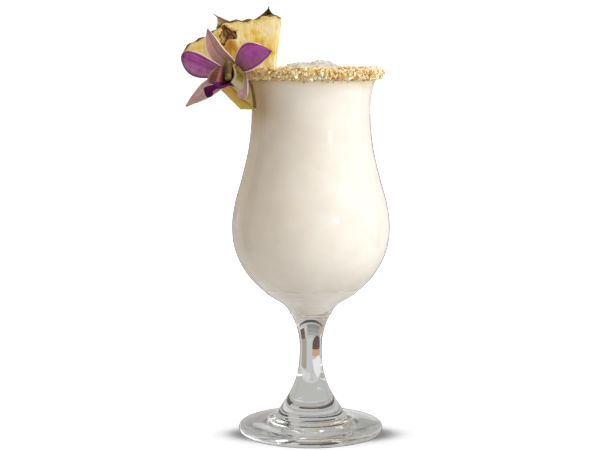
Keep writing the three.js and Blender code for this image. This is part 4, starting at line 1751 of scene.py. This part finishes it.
def lip_surface(u, v):
    """The lip by linear steps on its fine net."""
    rows, columns = LIP_NET.shape[:2]
    row = u * (rows - 1)
    column = (v + 1) / 2 * (columns - 1)
    i = np.minimum(row.astype(int), rows - 2)
    j = np.minimum(column.astype(int), columns - 2)
    down = (row - i)[:, None]
    beside = (column - j)[:, None]
    upper = LIP_NET[i, j] * (1 - beside) + LIP_NET[i, j + 1] * beside
    lower = LIP_NET[i + 1, j] * (1 - beside) + LIP_NET[i + 1, j + 1] * beside
    flat = upper * (1 - down) + lower * down
    flat[:, 1] += 0.3 * np.sin(26 * v) * smooth_step(0.7, 1, u)
    flat[:, 1] += 0.2 * np.sin(17 * u) * np.abs(v) ** 4
    return onto_wedge(flat)


lip = sheet("lip", lip_surface, 85, 61, TEPAL_THICKNESS)
print("the lip's fine net is", LIP_NET.shape[0], "by", LIP_NET.shape[1])

# %% [markdown]
# ## Colouring the lip
#
# The throat is a dark red brown with pale folds beside it. The left wing is brown with fine
# stripes, the right one olive, and the front lobe a deep purple that hardly shines. The colours
# meet along lines of the sheet's own two numbers, so they need no painted map.

# %% The lip's velvet


def lip_wings(recipe, along, across):
    """The brown left wing and the olive right one, with the throat and its folds between."""
    stripe = (along * 95).sine().band(0, 0.9)
    left = recipe.blend(stripe * 0.45, (130, 76, 68), (84, 38, 32))
    left = recipe.blend(across.band(0.84, 1), left, (178, 138, 138))
    mottle = recipe.speckle(300, detail=3)
    right = recipe.ramp(mottle, (0.35, (92, 68, 22)), (0.65, (136, 122, 40)))
    right = recipe.blend(along.band(0.22, 0.3), right, (154, 150, 118))
    left_half = across.band(-0.2, 0.2)
    wings = recipe.blend(left_half, right, left)
    away = abs(across)
    wings = recipe.blend(away.band(0.44, 0.3), wings, (112, 42, 26))
    pale_fold = recipe.blend(left_half, (206, 176, 138), (166, 110, 102))
    return recipe.blend(abs(away - 0.52).band(0.1, 0.01) * 0.85, wings, pale_fold)


def lip_velvet():
    recipe = Recipe("orchid_lip")
    along = recipe.stored("along")
    across = recipe.stored("across")
    away = abs(across)
    lobe = recipe.ramp(recipe.speckle(320, detail=3), (0.35, (48, 0, 44)), (0.7, (100, 4, 92)))
    lobe = recipe.blend(away.band(0.86, 0.99) * 0.3, lobe, (176, 96, 150))
    begins = (along - away * 0.1).band(0.3, 0.335)
    return recipe.shade(
        Base_Color=recipe.blend(begins, lip_wings(recipe, along, across), lobe),
        Roughness=0.7,
        Specular_IOR_Level=0.15,
        Normal=recipe.bump(recipe.speckle(1300), 0.1),
        **soft(0.15, 1, 0.4, 0.8),
    )


finish_piece(lip, lip_velvet(), "orchid_lip", "orchid_lip")

# %% [markdown]
# ## Column, anther cap and stalk
#
# The column is a stubby olive rod over the throat, and the pale anther cap sits on its end. Both
# are rods of changing radius along a path, and so is the stalk behind the flower. A Blender curve
# with a bevel could be used. One helper that sweeps a ring along a curve gives the same mesh for
# all three, with closed ends.

# %% Sweep the column and the stalk
COLUMN_TOP = flower_point(1, 4.6, 3.4)
COLUMN_END = flower_point(2.2, -4.4, 6.2)
STALK_PATH = [(-39.1, -20.2, 185.7), (-38.6, -16.5, 185.1), (-38.2, -12.5, 184.3), (-38, -7, 184)]


def rod(name, path, radii, sides=24):
    """A closed rod along a smooth path, with a radius for each of the path's given points."""
    given = len(path)
    path = curve_through(path, 10)
    radii = np.interp(np.linspace(0, given - 1, len(path)), np.arange(given), radii)
    tangent = unit(np.gradient(path, axis=0))
    side = unit(np.cross(tangent, [1, 0, 0]))
    over = np.cross(tangent, side)
    angle = round_angles(sides)[:, None]
    ring = side[:, None] * np.cos(angle) + over[:, None] * np.sin(angle)
    points = path[:, None] + ring * np.maximum(radii, 0.05)[:, None, None]
    faces = grid_faces(len(path), sides, wrap_columns=True).tolist()
    last = (len(path) - 1) * sides
    faces += [list(range(sides)), list(range(last, last + sides))]
    return make_mesh(name, points, faces, closed=True)


def waxy(name, dark, light):
    recipe = Recipe(name)
    grain = recipe.speckle(300, detail=3)
    tint = recipe.ramp(grain, (0.35, dark), (0.68, light))
    normal = recipe.bump(grain, 0.12)
    return recipe.shade(Base_Color=tint, Roughness=0.42, Normal=normal, **soft(0.15, 1, 0.8, 0.4))


def along_column(*shares):
    """Places at shares of the way from the column's top to its end."""
    return onto_wedge([COLUMN_TOP + (COLUMN_END - COLUMN_TOP) * share for share in shares])


column = rod("column", along_column(0, 0.05, 0.25, 0.55, 0.68, 0.72), [1, 2, 2.3, 2.1, 1.8, 1.2])
finish_piece(column, waxy("column_olive", (66, 50, 18), (116, 96, 42)), "orchid_column", "orchid_column")
anther = rod("anther_cap", along_column(0.6, 0.63, 0.7, 0.9, 0.98, 1), [0.9, 1.5, 1.65, 1.7, 1.4, 0.5])
finish_piece(anther, waxy("anther_wax", (98, 74, 36), (148, 126, 76)), "orchid_column")
stalk = rod("stalk", STALK_PATH, [1.3, 1.1, 1.0, 1.0])
finish_piece(stalk, waxy("stalk_green", (96, 104, 52), (146, 150, 88)), "orchid_green", "orchid_stalk")

# %% [markdown]
# ## The floor and its shadow
#
# The stage is a product shot on white: a white floor that runs into a white background. The floor
# only catches shadows. A real glass of drink stands in a soft oval shadow, but clear glass lets
# nearly all light through here, so an oval card just over the floor casts that shadow. It is
# darkest in the middle and is never seen itself.

# %% Lay the floor
FLOOR_REACH = 4000
FLOOR_HEIGHT = -0.05
CARD_SIZE = (62, 30)
CARD_PLACE = (1, -6, 0.5)
CARD_DARKNESS = [(0.6, 0.74), (0.66, 0.56), (0.71, 0.34), (0.77, 0.15), (0.86, 0.06), (1, 0)]


def unseen_by(thing, *rays):
    """Hides an object from some kinds of rays."""
    for ray in rays:
        setattr(thing, "visible_" + ray, False)


def floor():
    corners = np.array([(-1, -1, 0), (1, -1, 0), (1, 1, 0), (-1, 1, 0)]) * FLOOR_REACH
    plane = make_mesh("floor", corners + [0, 0, FLOOR_HEIGHT], [[0, 1, 2, 3]])
    paper = Recipe("white_floor")
    matt = dict(Roughness=0.9, Specular_IOR_Level=0.0)
    plane.data.materials.append(paper.shade(Base_Color=(0.72, 0.71, 0.7), **matt))
    plane.is_shadow_catcher = True
    unseen_by(plane, "glossy", "transmission")


def all_channels(amount):
    return (amount,) * 3


def shadow_card(rings=24, around=72):
    """An oval card that stops a share of the light: CARD_DARKNESS holds pairs of how far out,
    as a share, and how much it stops there."""
    out = np.linspace(0.02, 1, rings)[:, None]
    points = spin(out, 0, round_angles(around)) * [*CARD_SIZE, 1] + CARD_PLACE
    card = make_mesh("shadow_card", points, grid_faces(rings, around, wrap_columns=True))
    paint_points(card, way_out=out.repeat(around))
    recipe = Recipe("shadow_paper")
    recipe.shade(Base_Color=(0.02, 0.02, 0.02), Roughness=1.0, Specular_IOR_Level=0.0)
    stopped = recipe.ramp(recipe.stored("way_out"), *CARD_DARKNESS, convert=all_channels)
    card.data.materials.append(recipe.shade(Alpha=stopped))
    unseen_by(card, "camera", "glossy", "transmission")


floor()
shadow_card()
print("the shadow card is", 2 * CARD_SIZE[0], "by", 2 * CARD_SIZE[1], "mm")

# %% [markdown]
# ## Light
#
# One large soft light stands at the right, which leaves the left of the drink a little darker, and
# a weaker one hangs above. The light from all round is warmer at the left and cooler at the right.
# The lamps can't be mirrored or seen through glass: their hard edges would show in it. Cards that
# are made for the glass take their place there.

# %% Set the lights


def soft_light(name, place, aim, width, height, power, tint=(1, 1, 1)):
    lamp = bpy.data.lights.new(name, "AREA")
    lamp.shape = "RECTANGLE"
    lamp.size = width * MM
    lamp.size_y = height * MM
    lamp.energy = power
    lamp.color = tint
    holder = bpy.data.objects.new(name, lamp)
    bpy.context.scene.collection.objects.link(holder)
    holder.location = np.array(place) * MM
    heading = Vector(np.subtract(aim, place).tolist())
    holder.rotation_euler = heading.to_track_quat("-Z", "Y").to_euler()
    unseen_by(holder, "glossy", "transmission")


def white_world(left, right):
    """Pure white behind the object. The light on it is one colour from the left and another
    from the right."""
    world = bpy.data.worlds.new("white_world")
    bpy.context.scene.world = world
    world.use_nodes = True
    sky = Nodes(world.node_tree)
    place = sky.node("ShaderNodeTexCoord", "Generated")
    across = sky.node("ShaderNodeSeparateXYZ", "X", {0: place})
    share = sky.node("ShaderNodeMapRange", 0, {"Value": across, "From Min": -0.8, "From Max": 0.5})
    around = sky.node("ShaderNodeBackground", 0, {"Color": sky.mix(share, left, right)})
    behind = sky.node("ShaderNodeBackground", 0, {"Color": (1, 1, 1), "Strength": 1.2})
    seen = sky.node("ShaderNodeLightPath", "Is Camera Ray")
    light = sky.node("ShaderNodeMixShader", 0, {0: seen, 1: around, 2: behind})
    sky.put(sky.tree.nodes["World Output"].inputs["Surface"], light)


white_world(left=(0.44, 0.35, 0.235), right=(0.56, 0.55, 0.56))
soft_light("key", (620, -420, 420), (0, 0, 110), 420, 760, 5.35, (1, 0.985, 0.98))
soft_light("top", (-60, 120, 760), (0, 0, 60), 700, 700, 3)
print("lamps:", len(bpy.data.lights))

# %% [markdown]
# ## What the glass shows
#
# Clear glass has no colour of its own. It shows what stands round it, bent and turned over. An
# image of a studio for the world is the usual way. Single cards are used here, seen only in the
# glass, because each can be moved until the glass shows it in the right place.
#
# Light can be mirrored many times inside the stem and foot. Some cards show a darker or brighter
# shade to such rays, which keeps stray colours out of the foot and puts glints on its edge.

# %% Make glowing cards


def glowing(name, shade, strength, deeper, mirrorings):
    """A card that gives light of its own. Rays that were mirrored at least so many times
    inside the glass see the deeper shade."""
    recipe = Recipe(name)
    recipe.shade(Base_Color=(0.0, 0.0, 0.0), Roughness=1.0, Specular_IOR_Level=0.0)
    if deeper:
        late = recipe.node("ShaderNodeLightPath", "Glossy Depth") > mirrorings - 0.5
        shade = recipe.mix(late, shade, all_channels(deeper))
    return recipe.shade(Emission_Color=shade, Emission_Strength=strength)


def panel(
    name, centre, across, up, shade,
    glow=1.0, arch=False, mirrored=True, seen_through=True, deeper=None, mirrorings=1,
):
    """A glowing card that shows only as a reflection or through clear glass.

    across and up are the vectors along its two sides, and a shade of one number is a grey. An
    arch has a round top. A card that isn't mirrored shows only through the glass, and as a dark
    streak where it was mirrored inside it."""
    centre, across, up = np.array(centre), np.array(across) / 2, np.array(up) / 2
    corners = [centre - across - up, centre + across - up]
    if arch:
        angle = np.linspace(0, math.pi, 13)
        corners += [centre + across * math.cos(a) + up * (2 * math.sin(a) - 1) for a in angle]
    else:
        corners += [centre + across + up, centre - across + up]
    card = make_mesh(name, corners, [range(len(corners))])
    shade = shade if isinstance(shade, tuple) else all_channels(shade)
    deeper = deeper if mirrored else 0.07
    card.data.materials.append(glowing(name + "_glow", shade, glow, deeper, mirrorings))
    unseen_by(card, "camera", "diffuse", "shadow")
    card.visible_glossy = mirrored
    card.visible_transmission = seen_through


# %% [markdown]
# ## Cards round the glass
#
# A window gives the soft highlights, a bright ceiling lights the edges of the foot, and dark
# strips draw the outlines. The stem turns plain grey and brown cards behind it into small bands of
# colour. Cards that lie flat take the floor's place, because the floor is hidden from the glass.

# %% Stand cards round the glass


def upright(azimuth, distance, low, high, width):
    """Centre and sides of an upright card that faces the glass."""
    turned = math.radians(azimuth)
    centre = (distance * math.cos(turned), distance * math.sin(turned), (low + high) / 2)
    across = (-width * math.sin(turned), width * math.cos(turned), 0)
    return centre, across, (0, 0, high - low)


def lying(x, y, z, width, depth):
    """Centre and sides of a card that lies flat."""
    return (x, y, z), (width, 0, 0), (0, depth, 0)


panel("table", *lying(0, 0, -0.02, 3000, 3000), 0.56)
panel("table_near", *lying(0, -15, -0.015, 150, 90), (0.49, 0.49, 0.475))
panel("ceiling", *lying(60, -60, 800, 420, 420), 1, glow=5)
panel("window", *upright(-53, 900, 240, 318, 130), 1, glow=4)
panel("window_haze", *upright(-53, 905, 150, 400, 230), 1, glow=0.9)
panel("dark_left", *upright(168, 260, 0, 500, 90), 0.03)
panel("dark_right", *upright(22, 330, 0, 500, 70), 0.1)
panel("dark_back", *upright(90, 600, 248, 305, 1000), (0.05, 0.05, 0.06))
panel("grey_back_top", *upright(99, 600, 141, 206, 420), (0.24, 0.245, 0.25), mirrored=False)
panel("grey_back_middle", *upright(99, 600, 93, 141, 420), (0.3, 0.3, 0.31), mirrored=False)
panel("grey_back_low", *upright(99, 600, 62, 93, 420), (0.38, 0.37, 0.38), mirrored=False)
panel("white_streak", *upright(137, 600, 44, 130, 90), (0.85, 0.85, 0.87))
panel("bright_back", (36, 150, 19), (56, 0, 0), (0, 0, 32), (0.95, 0.95, 0.93), seen_through=False)
panel("glint", (310, -210, 260), (140, 210, 0), (-210, 140, 290), 0.5, deeper=4, mirrorings=3)
panel("brown_left", *upright(114, 150, 12, 56, 104), (0.1, 0.055, 0.045), arch=True, mirrored=False)
panel("amber_left", *upright(114, 150, 0, 12, 104), (0.56, 0.34, 0.19), mirrored=False)
panel("brown_right", *upright(61, 75, 46, 66, 29), (0.12, 0.07, 0.05), mirrored=False)
panel("tan_right", *upright(63, 75, 0, 46, 34), (0.36, 0.33, 0.25), mirrored=False)
panel("bright_near", *lying(0, 43, -0.012, 130, 34), 0.68)
panel("bright_left", *lying(-22, -6, -0.01, 14, 16), 0.88)
panel("white_paper", *lying(-51, 82, -0.01, 78, 100), 1, glow=0.84)
panel("paper_edge", *lying(-5, 82, -0.008, 14, 100), 0.55)
print("meshes in the scene:", len(bpy.data.meshes))

# %% [markdown]
# ## The camera
#
# The camera stands about three quarters of a metre away, a little above the rim, and looks
# slightly down, so that the foot shows as a flat ellipse. A long lens keeps the glass's sides
# nearly parallel. Its focal length was worked out in pixels of a frame 600 wide, from how wide the
# foot and the rim look, and is turned into millimetres here.

# %% Place the camera
CAMERA_DISTANCE = 770
CAMERA_HEIGHT = 194
CAMERA_ACROSS = -5.5
CAMERA_PITCH = 6.49
FOCAL_PIXELS = 1532
FRAME_WIDTH = 600
SENSOR_WIDTH = 36

lens = bpy.data.cameras.new("camera")
lens.sensor_width = SENSOR_WIDTH
lens.lens = FOCAL_PIXELS * SENSOR_WIDTH / FRAME_WIDTH
lens.clip_start = 0.01
lens.clip_end = 20
camera = bpy.data.objects.new("camera", lens)
bpy.context.scene.collection.objects.link(camera)
camera.location = np.array([CAMERA_ACROSS, -CAMERA_DISTANCE, CAMERA_HEIGHT]) * MM
camera.rotation_euler = (math.radians(90 - CAMERA_PITCH), 0, 0)
bpy.context.scene.camera = camera
bpy.context.scene.view_settings.view_transform = "Standard"
bpy.context.scene.view_settings.look = "None"
print("lens:", round(lens.lens, 1), "mm")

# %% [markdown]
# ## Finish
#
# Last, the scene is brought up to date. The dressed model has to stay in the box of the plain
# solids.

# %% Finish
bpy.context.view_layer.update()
